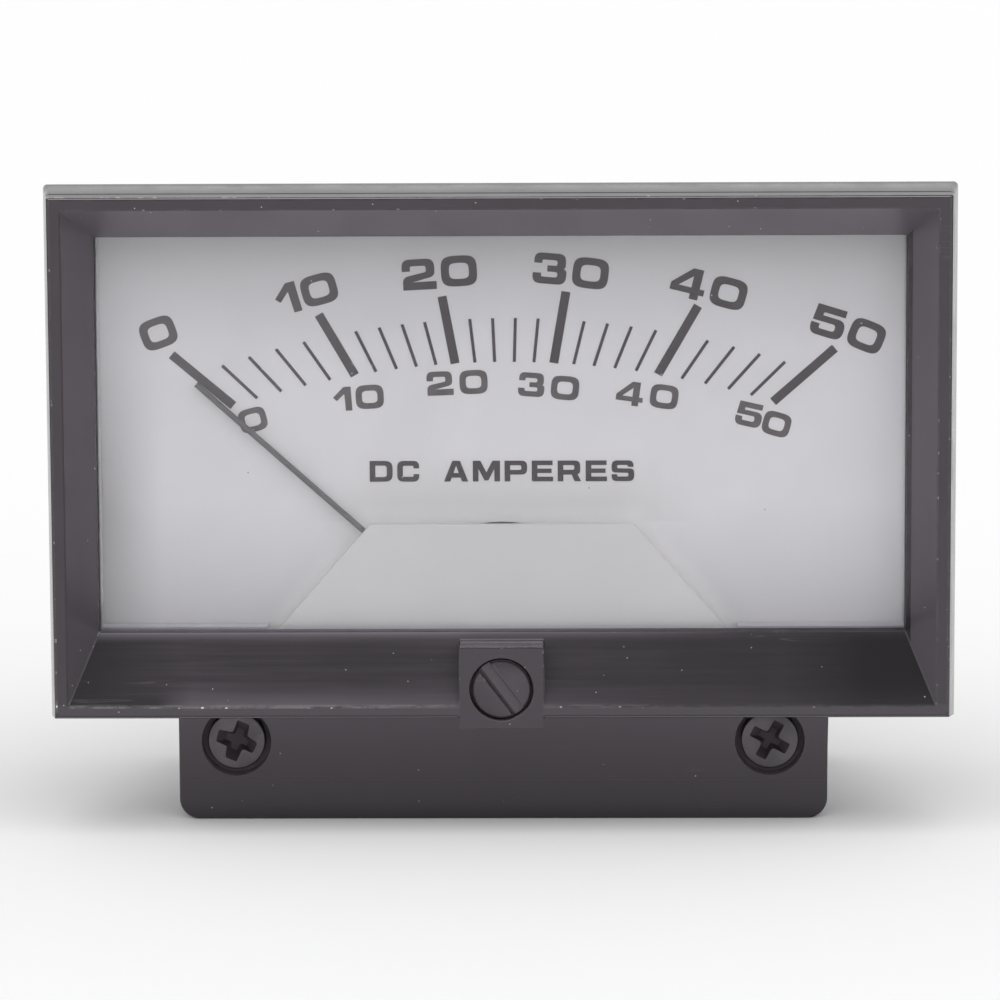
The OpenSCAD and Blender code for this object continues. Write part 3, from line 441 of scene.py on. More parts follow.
class Finish:
    """A material in the making: its nodes, its shader and the patterns on its surface."""

    def __init__(self, name):
        self.material = bpy.data.materials.new(name)
        self.material.use_nodes = True
        self.tree = self.material.node_tree
        self.tree.nodes.clear()
        self.shader = put(self.tree, "ShaderNodeBsdfPrincipled")
        self.surface = put(self.tree, "ShaderNodeOutputMaterial").inputs["Surface"]
        fill(self.surface, Field(self.shader.outputs["BSDF"]))

    def set(self, **inputs):
        """Fills inputs of the shader, in whose names _ stands for a space, and gives the material."""
        for name, value in inputs.items():
            fill(self.shader.inputs[name.replace("_", " ")], value)
        return self.material

    def coordinate(self, kind):
        return Field(put(self.tree, "ShaderNodeTexCoord").outputs[kind])

    def part(self, kind, axis):
        return Field(put(self.tree, "ShaderNodeSeparateXYZ", Vector=self.coordinate(kind)).outputs[axis])

    def along(self, axis):
        """Object coordinate along one axis, in millimetres."""
        return self.part("Object", axis) * (1 / MM)

    def depth(self):
        """Distance behind the front of the frame, in millimetres."""
        return self.along("Y") - FACE_Y / MM

    def facing(self, axis):
        """Part of the surface's direction along one axis of the object."""
        return self.part("Normal", axis)

    def place(self, stretch=(1, 1, 1), turn=(0, 0, 0)):
        """Object coordinates, stretched, and turned by degrees."""
        turned = {"Scale": stretch, "Rotation": [math.radians(a) for a in turn]}
        node = put(self.tree, "ShaderNodeMapping", Vector=self.coordinate("Object"), **turned)
        return Field(node.outputs["Vector"])

    def noise(self, scale, detail=3.0, stretch=(1, 1, 1), turn=(0, 0, 0)):
        settings = {"Vector": self.place(stretch, turn), "Scale": scale, "Detail": detail, "Roughness": 0.55}
        return Field(put(self.tree, "ShaderNodeTexNoise", **settings).outputs["Fac"])

    def mottled(self, scale, colour, dark, pale):
        """A colour that varies between a darker and a paler tone."""
        return self.noise(scale, 4.0).ramp(0.3, 0.7).tones(colour, dark, pale)

    def specks(self, scale, reach, share, flat=False):
        """Round specks, if flat only across X and Z: their size in cells and the share of cells with one."""
        kind = {"feature": "F1", "voronoi_dimensions": "2D" if flat else "3D"}
        where = self.place(turn=(90, 0, 0)) if flat else self.place()
        node = put(self.tree, "ShaderNodeTexVoronoi", kind, Vector=where, Scale=scale, Randomness=1.0)
        cells = node.outputs
        chosen = Field(put(self.tree, "ShaderNodeSeparateColor", Color=Field(cells["Color"])).outputs["Red"])
        return Field(cells["Distance"]).ramp(reach, reach * 0.6) * chosen.ramp(share, share - 0.01)

    def scratches(self, scale, turn, width, patch_scale):
        """Hair scratches along one direction, in patches."""
        band = abs(self.noise(scale, 2.0, (0.03, 1, 1), turn) - 0.5)
        return band.ramp(width, 0.0) * self.noise(patch_scale, 1.0).ramp(0.58, 0.68)

    def bump(self, height, strength, distance):
        """Lets a pattern stand out from the surface by a distance in millimetres."""
        node = put(self.tree, "ShaderNodeBump", Height=height, Strength=strength, Distance=distance * MM)
        self.set(Normal=Field(node.outputs["Normal"]))


def moulded_plastic(name, colour, dull=(0.14, 0.24), dust=0.12, grain=0.05, shade=None, matt=None):
    """Moulded plastic: mottling, grain, hair scratches, dust; shade adds painted light, matt dull places."""
    finish = Finish(name)
    tone = finish.mottled(260, colour, 0.88, 1.12)
    if shade:
        tone = shade(finish, tone, colour)
    tone = tone.lay(finish.scratches(900, (0, 35, 20), 0.006, 160) * 0.35, colour, 4.0)
    dots = finish.specks(700, 0.05, dust).most(finish.specks(1800, 0.09, dust)) * 0.8
    tone, shine = tone.lay(dots, colours().dust), PLASTIC_SHINE
    if matt:
        dull_place = matt(finish)
        tone = tone.lay(dull_place, colour, 0.5)
        shine = dull_place.ramp(0.0, 1.0, PLASTIC_SHINE, 0.05)
    finish.bump(finish.noise(5200, 2.0), grain, 0.02)
    gloss = finish.noise(420, 5.0).ramp(0.3, 0.7, *dull).most(dots)
    return finish.set(
        Base_Color=tone, Roughness=gloss, IOR=1.5, Specular_IOR_Level=shine, Specular_Tint=(1.0, 0.9, 1.0)
    )


def seam_line(finish):
    """Where the frame meets the cover on the top wall."""
    line = finish.depth().within(SEAM_DEPTH - 0.25, SEAM_DEPTH + 0.02, 0.08)
    return finish.along("Z").ramp(45.0, 45.1) * line * 0.8


def cover_matt(finish):
    """The seam and a slight dullness of the top wall."""
    return seam_line(finish).most(finish.facing("Z").ramp(0.9, 0.95, 0.0, 0.4))


def frame_painted_light(finish, tone, colour):
    """Painted light and shade: paler slopes, rim, boss top; dark right of opening; streaky lower slope."""
    x, z = finish.along("X"), finish.along("Z")
    across, up = finish.facing("X"), finish.facing("Z")
    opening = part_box("window")[1].x / MM - 0.85
    # Painted light: paler lower rim; painted reflection: paler slopes; painted shadow at the opening's right
    right_side = across.within(-0.93, -0.4, 0.05) * (x > 0.0)
    tone = tone.coats(
        colour,
        (z.ramp(9.6, 9.4), 1.55),
        (up.within(-0.93, -0.4, 0.05), 4.2),
        (across.within(0.4, 0.93, 0.05) * (x < 0.0), 2.45),
        (right_side, 3.15),
        (right_side * x.within(opening, opening + 0.33, 0.03), 0.85),
    )
    # Painted highlight on the top chamfer, painted reflection on the boss top, painted light on its face
    chamfer = up.within(0.58, 0.8, 0.04) * z.ramp(45.3, 45.4)
    boss = abs(x).ramp(3.0, 2.95) * z.ramp(15.0, 14.9)
    ledge = finish.depth().ramp(1.7, 2.5).tones(colour, 5.4, 11.0)
    tone = tone.lay(chamfer, colours().worn, 1.3).lay(boss * up.ramp(0.9, 0.95), ledge)
    tone = tone.lay(boss * finish.facing("Y").ramp(-0.95, -0.99), colour, 1.2)
    # Painted sheen on the lower slope: streaks and clouds, darker ends, a glow at left and a top highlight
    streaks = finish.noise(2600, 4.0, (0.03, 1, 1)).ramp(0.1, 0.9)
    clouds = finish.noise(110, 3.0, (0.5, 1, 1)).ramp(0.3, 0.6, 0.4, 1.0)
    ends = x.ramp(-29.0, -22.0) * x.ramp(-2.0, 18.0, 1.0, 0.45)
    glow = z.ramp(11.2, 9.4) ** 1.6 * x.ramp(-24.5, -22.0) * x.ramp(12.0, -12.0, 0.12, 1.0)
    head = z.ramp(13.45, 14.15) ** 2.0 * x.ramp(18.0, -4.0, 0.1, 1.0)
    foot = z.ramp(9.54, 9.42) * x.ramp(14.0, -6.0, 0.15, 1.0) * finish.noise(900, 5.0).ramp(0.35, 0.6)
    slope = (streaks * clouds * ends).tones(colour, 0.85, 2.3)
    slope = slope.coats(colour, (x.ramp(20.0, 26.0), 0.45), (glow, 3.9), (head, 5.0))
    # Along the foot a rubbed line, partly wear and partly a painted highlight
    slope = slope.lay(foot * 0.6, colours().worn)
    # Painted light on the slope just above the boss, against the shade there
    slope = slope.coats(colour, (boss * z.ramp(14.1, 13.8), 2.8), (boss * z.ramp(13.8, 13.72), 6.0))
    return tone.lay(up.within(0.43, 0.6, 0.03), slope)


def sill_painted_light(finish):
    """Painted reflection on the window's sill, paler to the back and the left, painted shade at its front
    edge.
    """
    depth, base = finish.depth(), (0.062, 0.057, 0.068)
    tone = depth.ramp(4.4, 3.4).tones(base, 3.6, 2.0)
    return tone.coats(base, (depth.ramp(3.2, 3.1), 1.1), (finish.along("X").ramp(-3.0, 20.0), 1.0))


def dial_painted_light(finish, tone, colour):
    """Painted shade: darker to the top, foot, lower left and over the mask; painted light close to the mask.
    """
    x, z = finish.along("X"), finish.along("Z")
    corner = x.ramp(-24.5, -29.0) * z.ramp(38.0, 22.0)
    tone = tone.coats(colour, (z.ramp(34.0, 43.0), 0.83), (z.ramp(23.0, 13.5), 0.72), (corner, 0.55))
    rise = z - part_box("movement_mask")[1].z / MM
    aside = abs(x) - MASK_TOP_HALF + rise * (1 / math.tan(MASK_SIDE))
    away = rise.most(aside * math.sin(MASK_SIDE))
    mask = colours().mask
    # Painted shade just over the mask, and painted light close to it against the mask's own shadow
    over = rise.ramp(5.0, 1.5) * rise.ramp(-0.1, 0.0) * abs(x).ramp(15.0, 8.0)
    pale = rise.ramp(-7.0, -3.0).tones(mask, 1.27, 1.43).lay(rise.ramp(-2.5, 0.0), mask, 1.35)
    return tone.lay(over, mask, 1.04).lay(away.ramp(1.6, 0.0) ** 1.7, pale)


def tab_painted_light(finish, tone, colour):
    """Painted light on the lower tab: paler towards its top, darker towards its foot."""
    z = finish.along("Z")
    return tone.lay(z < 9.0, (z.ramp(1.5, 8.5) ** 2.5).tones(colour, 0.65, 3.0))


def slot_painted_light(finish, tone, colour):
    """Painted light on the floor of the adjuster's slot, a painted shadow along its lower left side."""
    low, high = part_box("zero_adjust_screw")
    rise = finish.along("Z") - (high.z - (high.x - low.x) / 2) / MM
    aside = finish.along("X") * math.cos(SLOT_TURN) + rise * math.sin(SLOT_TURN)
    floor = finish.along("Y") > low.y / MM + 0.3
    return tone.coats(colour, (floor, 1.9), (aside.within(-0.5, -0.3, 0.05) * floor, 0.2))


def dull_recess(name, pale=1.0, shade=None):
    """Dull recess, painted paler by pale against the shade it lies in, or with painted light from shade."""
    finish = Finish(name)
    patches = finish.noise(900, 4.0)
    tone = patches.mix(scaled((0.05, 0.042, 0.047), pale), scaled((0.085, 0.072, 0.08), pale))
    if shade:
        tone = tone.lay(patches.ramp(0.0, 1.0, 0.75, 1.0), shade(finish))
    gloss = finish.noise(700).ramp(0.3, 0.7, 0.6, 0.8)
    return finish.set(Base_Color=tone, Roughness=gloss, Specular_IOR_Level=0.15)


def worn_edge_and_highlight(name, colour):
    """Edge of the plastic, rubbed bright along the top and lower left, with painted highlights and shade."""
    finish = Finish(name)
    x, z, depth = finish.along("X"), finish.along("Z"), finish.depth()
    worn, dust = colours().worn, colours().dust
    upper = z.ramp(45.0, 45.3)
    lower = z.ramp(10.0, 9.6) * x.ramp(14.0, -14.0, 0.1, 0.8) * z.ramp(8.9, 9.1)
    front = depth.ramp(0.6, 0.4) * finish.facing("Z").ramp(0.6, 0.7)
    where = (upper * front).most(lower.most(0.15))
    rubbed = finish.noise(700, 6.0).ramp(0.36, 0.66, 0.1, 0.9) * where
    # Along the top edge the rubbed colour again, brighter: wear and a painted highlight
    top = upper * front * x.ramp(30.0, 0.0, 0.4, 0.85)
    flecks = top * finish.noise(1500).ramp(0.6, 0.64) * x.ramp(10.0, -26.0)
    chips = finish.specks(2400, 0.3, 0.2) * where
    # Painted highlight on the front edge of the sill, painted shade on the edge under the frame
    sill = z.within(14.05, 14.3, 0.02) * depth.ramp(3.15, 3.1) * x.ramp(18.0, -4.0, 0.12, 0.9)
    under = z.within(8.5, 8.9, 0.03) * depth.ramp(1.3, 1.2)
    seam = depth.ramp(0.9, 1.0) * upper
    tone = rubbed.mix(colour, worn).lay(top, worn, 1.3).coats(dust, (flecks, 1.4), (chips, 1.5))
    tone = tone.coats(colour, (sill, 8.0), (under, 0.8)).lay(seam, (0.008, 0.007, 0.008))
    finish.bump(finish.noise(6000, 2.0), 0.1, 0.02)
    gloss, shine = rubbed.ramp(0.0, 1.0, 0.2, 0.4), seam.ramp(0.0, 1.0, 0.6, 0.05)
    return finish.set(Base_Color=tone, Roughness=gloss, Specular_IOR_Level=shine)


def metal(name, colour, dull=(0.25, 0.42), brushed=(1, 1, 1), tarnish=0.35, shine=1.0):
    """Metal with brushed lines, uneven polish and tarnish."""
    finish = Finish(name)
    stain = finish.noise(380, 5.0).ramp(0.42, 0.72, 0.0, tarnish)
    lines = finish.noise(5200, 2.0, brushed)
    tone = stain.tones(colour, 1.0, 0.45).lay(lines.ramp(0.4, 0.7, 0.0, 0.35), colour, 1.15)
    finish.bump(lines, 0.08, 0.01)
    return finish.set(Base_Color=tone, Roughness=(lines + stain).ramp(0.3, 0.9, *dull), Metallic=shine)


def painted(name, colour, dull=(0.42, 0.6), speck=0.02, mottle=0.04, sides=1.0, shade=None):
    """Paint with a slight orange peel, uneven tone, dark specks, painted light to the sides and from shade.
    """
    finish = Finish(name)
    tone = finish.mottled(120, colour, 1 - mottle, 1 + mottle)
    # Painted light towards the sides, by the factor sides
    tone = tone.lay(abs(finish.along("X")).ramp(19.0, 29.0), colour, sides)
    if shade:
        tone = shade(finish, tone, colour)
    tone = tone.lay(finish.specks(160, 0.009, speck, True), (0.05, 0.045, 0.045))
    finish.bump(finish.noise(3800, 2.0), 0.05, 0.01)
    return finish.set(Base_Color=tone, Roughness=finish.noise(700).ramp(0.3, 0.7, *dull))


def printed_ink(name, colour):
    """Print that covers unevenly, thinner towards the left, and has pale pinholes."""
    finish = Finish(name)
    thin = finish.along("X").ramp(-4.0, -22.0, 0.0, 0.17)
    tone = finish.mottled(900, colour, 0.7, 1.5).lay(thin, (0.4, 0.4, 0.4))
    tone = tone.lay(finish.specks(1400, 0.1, 0.06, True), (0.45, 0.45, 0.45))
    finish.bump(finish.noise(5000, 2.0), 0.06, 0.01)
    gloss = finish.noise(1500, 2.0).ramp(0.3, 0.7, 0.45, 0.6)
    return finish.set(Base_Color=tone, Roughness=gloss, Specular_IOR_Level=0.25)


def clear_plastic():
    """Clear moulded plastic that lets the lamp through to the dial."""
    finish = Finish("clear_moulding")
    # The frosted skirt, greyer towards its foot, is painted reflection: the pale strip the side walls show
    skirt = finish.depth().ramp(5.32, 5.38)
    haze = finish.noise(300, 4.0).ramp(0.45, 0.8, 0.0, 0.03) + skirt * 0.3
    dots = finish.specks(420, 0.02, 0.04)
    tone = dots.mix((0.977, 0.97, 0.98), (0.8, 0.8, 0.8))
    tone = tone.lay(skirt * finish.along("Z").ramp(16.0, 15.5), (0.68, 0.665, 0.7))
    through = put(finish.tree, "ShaderNodeBsdfTransparent", Color=(0.957, 0.95, 0.96))
    path = put(finish.tree, "ShaderNodeLightPath")
    either = put(finish.tree, "ShaderNodeMixShader")
    sources = path.outputs["Is Shadow Ray"], finish.shader.outputs["BSDF"], through.outputs["BSDF"]
    for socket, source in zip(either.inputs, sources):
        fill(socket, Field(source))
    fill(finish.surface, Field(either.outputs["Shader"]))
    clear = skirt.ramp(0.0, 1.0, 1.0, 0.35)
    return finish.set(Base_Color=tone, Roughness=haze + dots * 0.3, Transmission_Weight=clear, IOR=1.49)


def wound_wire(name, colour):
    """Fine enamelled wire laid in turns."""
    finish = Finish(name)
    turns = {"Vector": finish.place(), "Scale": 2600, "Distortion": 0.4}
    bands = Field(put(finish.tree, "ShaderNodeTexWave", {"bands_direction": "Y"}, **turns).outputs["Fac"])
    finish.bump(bands, 0.5, 0.05)
    gloss = finish.noise(900).ramp(0.3, 0.7, 0.25, 0.4)
    return finish.set(Base_Color=bands.tones(colour, 0.35, 1.0), Roughness=gloss, Metallic=0.9)


# Shapes


def off_axis(point, x, z):
    """Distance of a point from a line that runs to the back at a place on the face."""
    return math.hypot(point.x - x, point.z - z)


def right_one(node):
    """Place, radius and length of the right one of a pair of round pieces that run to the back."""
    low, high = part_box(node)
    radius = (high.z - low.z) / 2
    return Vector((high.x - radius, low.y, (low.z + high.z) / 2)), radius, high.y - low.y


def round_corners(piece, radius, inside):
    """Rounds the edges that run to the back along the outer corners of a piece."""
    edit(piece, "EDGE")
    close_edit()
    vertices = piece.data.vertices
    reach_x = max(abs(v.co.x) for v in vertices) - inside
    top = max(v.co.z for v in vertices) - inside
    for edge in piece.data.edges:
        a, b = (vertices[i].co for i in edge.vertices)
        run = (b - a).normalized()
        edge.select = abs(run.y) > 0.9 and min(abs(a.x), abs(b.x)) > reach_x and min(a.z, b.z) > top
    bpy.ops.object.mode_set(mode="EDIT")
    bpy.ops.mesh.bevel(offset=radius, segments=4, affect="EDGES")
    close_edit()


def keep_flat(piece):
    """Marks the borders of flat faces as sharp, so that a rounded edge beside them doesn't shade them."""
    sides = {}
    for polygon in piece.data.polygons:
        for key in polygon.edge_keys:
            sides.setdefault(key, []).append(polygon)
    for edge in piece.data.edges:
        a, b = sorted(sides[edge.key], key=lambda polygon: polygon.area)
        if a.material_index != b.material_index or (b.area > 8 * a.area and a.normal.angle(b.normal) > 0.05):
            edge.use_edge_sharp = True


def softened_copy(node, name, radius, keep, corner=0.0):
    """A copy of a CAD node with rounded edges where keep(a, b) allows it; they get the second material."""
    piece = duplicate(frame["nodes"][node], name)
    piece.parent = None
    for key in list(piece.keys()):
        del piece[key]
    paint(piece, None, None)
    pick(piece)
    bpy.ops.mesh.customdata_custom_splitnormals_clear()
    edit(piece, "VERT")
    bpy.ops.mesh.select_all(action="SELECT")
    bpy.ops.mesh.remove_doubles(threshold=WELD)
    bpy.ops.mesh.tris_convert_to_quads(face_threshold=math.radians(0.5), shape_threshold=math.radians(60))
    close_edit()
    if corner:
        round_corners(piece, corner, 1.5 * MM)
    edit(piece, "EDGE")
    bpy.ops.mesh.edges_select_sharp(sharpness=math.radians(25))
    close_edit()
    for edge in piece.data.edges:
        edge.select = edge.select and keep(*(piece.data.vertices[i].co for i in edge.vertices))
    bpy.ops.object.mode_set(mode="EDIT")
    bpy.ops.mesh.bevel(
        offset=radius, segments=2, affect="EDGES", clamp_overlap=False, material=1, miter_outer="ARC"
    )
    close_edit()
    smooth(piece, 50)
    keep_flat(piece)
    return piece


def rounded(corners, steps=6):
    """Points of a closed outline whose corners have radii."""
    points = []
    count = len(corners)
    for i, (x, z, *radius) in enumerate(corners):
        here = Vector((x, z))
        if not radius:
            points.append(here)
            continue
        before = (Vector(corners[i - 1][:2]) - here).normalized()
        after = (Vector(corners[(i + 1) % count][:2]) - here).normalized()
        reach = radius[0] / math.tan(before.angle(after) / 2)
        start, end = here + before * reach, here + after * reach
        for step in range(steps + 1):
            t = step / steps
            points.append(start.lerp(here, t).lerp(here.lerp(end, t), t))
    return points


def ring_of_zero():
    """Outer and inner loop of the wide zero."""
    loops = []
    for inset in (0.0, ZERO_WALL):
        half_w, half_h = ZERO_W / 2 - inset, 0.5 - inset * 0.9
        points = []
        for step in range(56):
            a = 2 * math.pi * step / 56
            c, s = math.cos(a), math.sin(a)
            x = half_w * math.copysign(abs(c) ** (2 / ZERO_CURVE), c)
            z = half_h * math.copysign(abs(s) ** (2 / ZERO_CURVE), s)
            points.append(Vector((x + ZERO_W / 2, z + 0.5)))
        loops.append(points)
    return loops


def flat_shape(name, loops, thickness):
    """A flat solid in the XZ plane from closed loops, centred on its own box in X and Z, and its width."""
    xs = [p.x for loop in loops for p in loop]
    zs = [p.y for loop in loops for p in loop]
    middle = Vector(((min(xs) + max(xs)) / 2, (min(zs) + max(zs)) / 2))
    bpy.ops.curve.primitive_bezier_circle_add(radius=1.0)
    shape = named(name)
    shape.data.dimensions = "2D"
    shape.data.fill_mode = "BOTH"
    shape.data.splines.clear()
    for loop in loops:
        spline = shape.data.splines.new("POLY")
        spline.points.add(len(loop) - 1)
        for point, corner in zip(spline.points, loop):
            point.co = (corner.x - middle.x, corner.y - middle.y, 0.0, 1.0)
        spline.use_cyclic_u = True
    shape.data.extrude = thickness / 2
    pick(shape)
    bpy.ops.object.convert(target="MESH")
    shape.rotation_euler = (math.radians(90), 0, 0)
    place_in_mesh(shape)
    edit(shape, "VERT")
    bpy.ops.mesh.select_all(action="SELECT")
    bpy.ops.mesh.remove_doubles(threshold=WELD)
    bpy.ops.mesh.normals_make_consistent(inside=False)
    close_edit()
    return shape, max(xs) - min(xs)


def character(glyph):
    loops = ring_of_zero() if glyph == "0" else [rounded(loop) for loop in GLYPHS[glyph]]
    return flat_shape("character_" + glyph, loops, 1.0)


def turned(name, radius, length, start, bevel=0.0, vertices=48):
    """A round length along +Z with bevelled ends."""
    bpy.ops.mesh.primitive_cylinder_add(
        vertices=vertices, radius=radius, depth=length, location=(0, 0, start + length / 2)
    )
    piece = named(name)
    place_in_mesh(piece)
    if bevel:
        edit(piece)
        select_faces(piece, lambda centre, normal: abs(normal.z) > 0.9)
        bpy.ops.mesh.bevel(offset=bevel, segments=2, affect="EDGES")
        close_edit()
    return piece


def threaded_rod(name, radius, length, start, pitch):
    """A threaded length along +Z with a bevelled end."""
    depth = pitch * 0.5
    core = turned(name, radius - depth, length, start, pitch * 0.6, 40)
    turns = int(length / pitch) - 1
    bpy.ops.mesh.primitive_circle_add(
        vertices=4, radius=pitch * 0.44, location=(radius - depth, 0, start + pitch * 0.6),
        rotation=(math.pi / 2, 0, 0),
    )
    ridge = bpy.context.object
    place_in_mesh(ridge)
    for vertex in ridge.data.vertices:
        if vertex.co.x > radius - depth + pitch * 0.2:
            vertex.co.x = radius
    turn = ridge.modifiers.new("thread", "SCREW")
    turn.axis = "Z"
    turn.screw_offset = pitch
    turn.iterations = turns
    turn.steps = turn.render_steps = sizes().thread_steps
    turn.use_merge_vertices = False
    apply_modifiers(ridge)
    edit(ridge, "EDGE")
    bpy.ops.mesh.select_non_manifold(extend=False, use_wire=False, use_boundary=True, use_multi_face=False)
    bpy.ops.mesh.fill_holes(sides=4)
    bpy.ops.mesh.select_all(action="SELECT")
    bpy.ops.mesh.normals_make_consistent(inside=False)
    close_edit()
    return join(name, [core, ridge])


def cut(piece, tool, operation):
    """Applies a Boolean with a tool, which is then removed."""
    boolean = piece.modifiers.new("cut", "BOOLEAN")
    boolean.operation = operation
    boolean.object = tool
    boolean.solver = "EXACT"
    apply_modifiers(piece)
    remove(tool)


def hexagon(name, corner_radius, height, start, chamfer):
    """A hexagon along +Z with chamfered corners, two of them on the X axis."""
    prism = turned(name, corner_radius, height, start, 0.0, 6)
    prism.rotation_euler = (0, 0, math.radians(30))
    place_in_mesh(prism)
    tool = turned("chamfer", corner_radius * 0.999, height * 1.001, start - height * 0.0005, chamfer, 64)
    cut(prism, tool, "INTERSECT")
    return prism


def lay_back(piece, x, y, z):
    """Turns a piece from the Z axis to the Y axis and moves it into place."""
    piece.rotation_euler = (-math.pi / 2, 0, 0)
    piece.location = (x, y, z)
    place_in_mesh(piece)
    smooth(piece, 35)
    return piece


def add_pair(name, lengths, place, material, slot, node):
    """Joins lengths along +Z, lays the piece into its place on the left and a copy on the right."""
    x, y, z = place
    left = lay_back(join(name + "_left", lengths), -x, y, z)
    right = duplicate(left, name + "_right")
    right.location.x = 2 * x
    place_in_mesh(right)
    for piece in (left, right):
        paint(piece, material)
        carry(piece, "case", slot, node)


# Operators


class AMMETER_OT_stage(bpy.types.Operator):
    """Adds the camera, the pale floor, the lamp and the world"""

    bl_idname = "ammeter.stage"
    bl_label = "Stage"

    pitch = math.radians(8.741)
    yaw = math.radians(0.944)
    roll = math.radians(0.282)
    distance = 379.087 * MM
    shift_x = -0.017 * MM
    shift_z = -2.859 * MM
    focal_px = 5379.4

    def add_camera(self, scene):
        angles = ((-self.roll, "Y"), (self.pitch, "X"), (-self.yaw, "Z"))
        roll, pitch, yaw = (Matrix.Rotation(angle, 3, axis) for angle, axis in angles)
        turn = roll @ pitch @ yaw
        right, forward, up = turn
        bpy.ops.object.camera_add()
        camera = named("photo_camera")
        spot = turn.transposed() @ Vector((self.shift_x, -self.distance, self.shift_z))
        axes = Matrix((right, up, -forward)).transposed().to_4x4()
        camera.matrix_world = Matrix.Translation(spot + Vector((0, FACE_Y, FACE_Z))) @ axes
        camera.data.sensor_width = SENSOR
        camera.data.lens = self.focal_px * SENSOR / IMAGE_SIDE
        camera.data.clip_start = 0.01
        camera.data.clip_end = 50
        scene.camera = camera

    def add_floor(self):
        bpy.ops.mesh.primitive_plane_add(size=12, location=(0, 0, 0))
        floor = named("floor")
        edit(floor)
        bpy.ops.mesh.select_all(action="SELECT")
        bpy.ops.mesh.subdivide(number_cuts=3)
        close_edit()
        finish = Finish("pale_floor")
        tone = finish.noise(3, 2.0).mix((0.96, 0.96, 0.96), (0.97, 0.97, 0.97))
        paint(floor, finish.set(Base_Color=tone, Roughness=0.9, Specular_IOR_Level=0.0))

    def add_lamp(self, name, strength, angle, height, side):
        bpy.ops.object.light_add(type="SUN")
        lamp = named(name)
        lamp.data.energy = strength
        lamp.data.angle = math.radians(angle)
        lamp.rotation_euler = (math.radians(90 - height), 0, math.radians(side))
        lamp.visible_glossy = False

    def add_world(self, scene):
        world = bpy.data.worlds.new("studio")
        scene.world = world
        world.use_nodes = True
        tree = world.node_tree
        tree.nodes.clear()
        path = put(tree, "ShaderNodeLightPath").outputs
        seen = Field(path["Is Camera Ray"])
        for ray in ("Is Glossy Ray", "Is Transmission Ray"):
            seen = seen.most(Field(path[ray]))
        generated = Field(put(tree, "ShaderNodeTexCoord").outputs["Generated"])
        direction = put(tree, "ShaderNodeSeparateXYZ", Vector=generated).outputs
        high, ahead = Field(direction["Z"]).ramp(0.3, 0.6), Field(direction["Y"]).ramp(0.0, -0.3)
        shade = (high * ahead).ramp(0.0, 1.0, 1.0, 0.3)
        strength = seen.ramp(0.0, 1.0, 0.74, shade)
        back = put(tree, "ShaderNodeBackground", Color=(1.0, 1.0, 1.0), Strength=strength)
        put(tree, "ShaderNodeOutputWorld", Surface=Field(back.outputs["Background"]))

    def execute(self, context):
        scene = context.scene
        scene.view_settings.view_transform = "Standard"
        self.add_camera(scene)
        self.add_floor()
        self.add_lamp("key_lamp", strength=1.15, angle=85, height=52, side=6)
        self.add_world(scene)
        return {"FINISHED"}


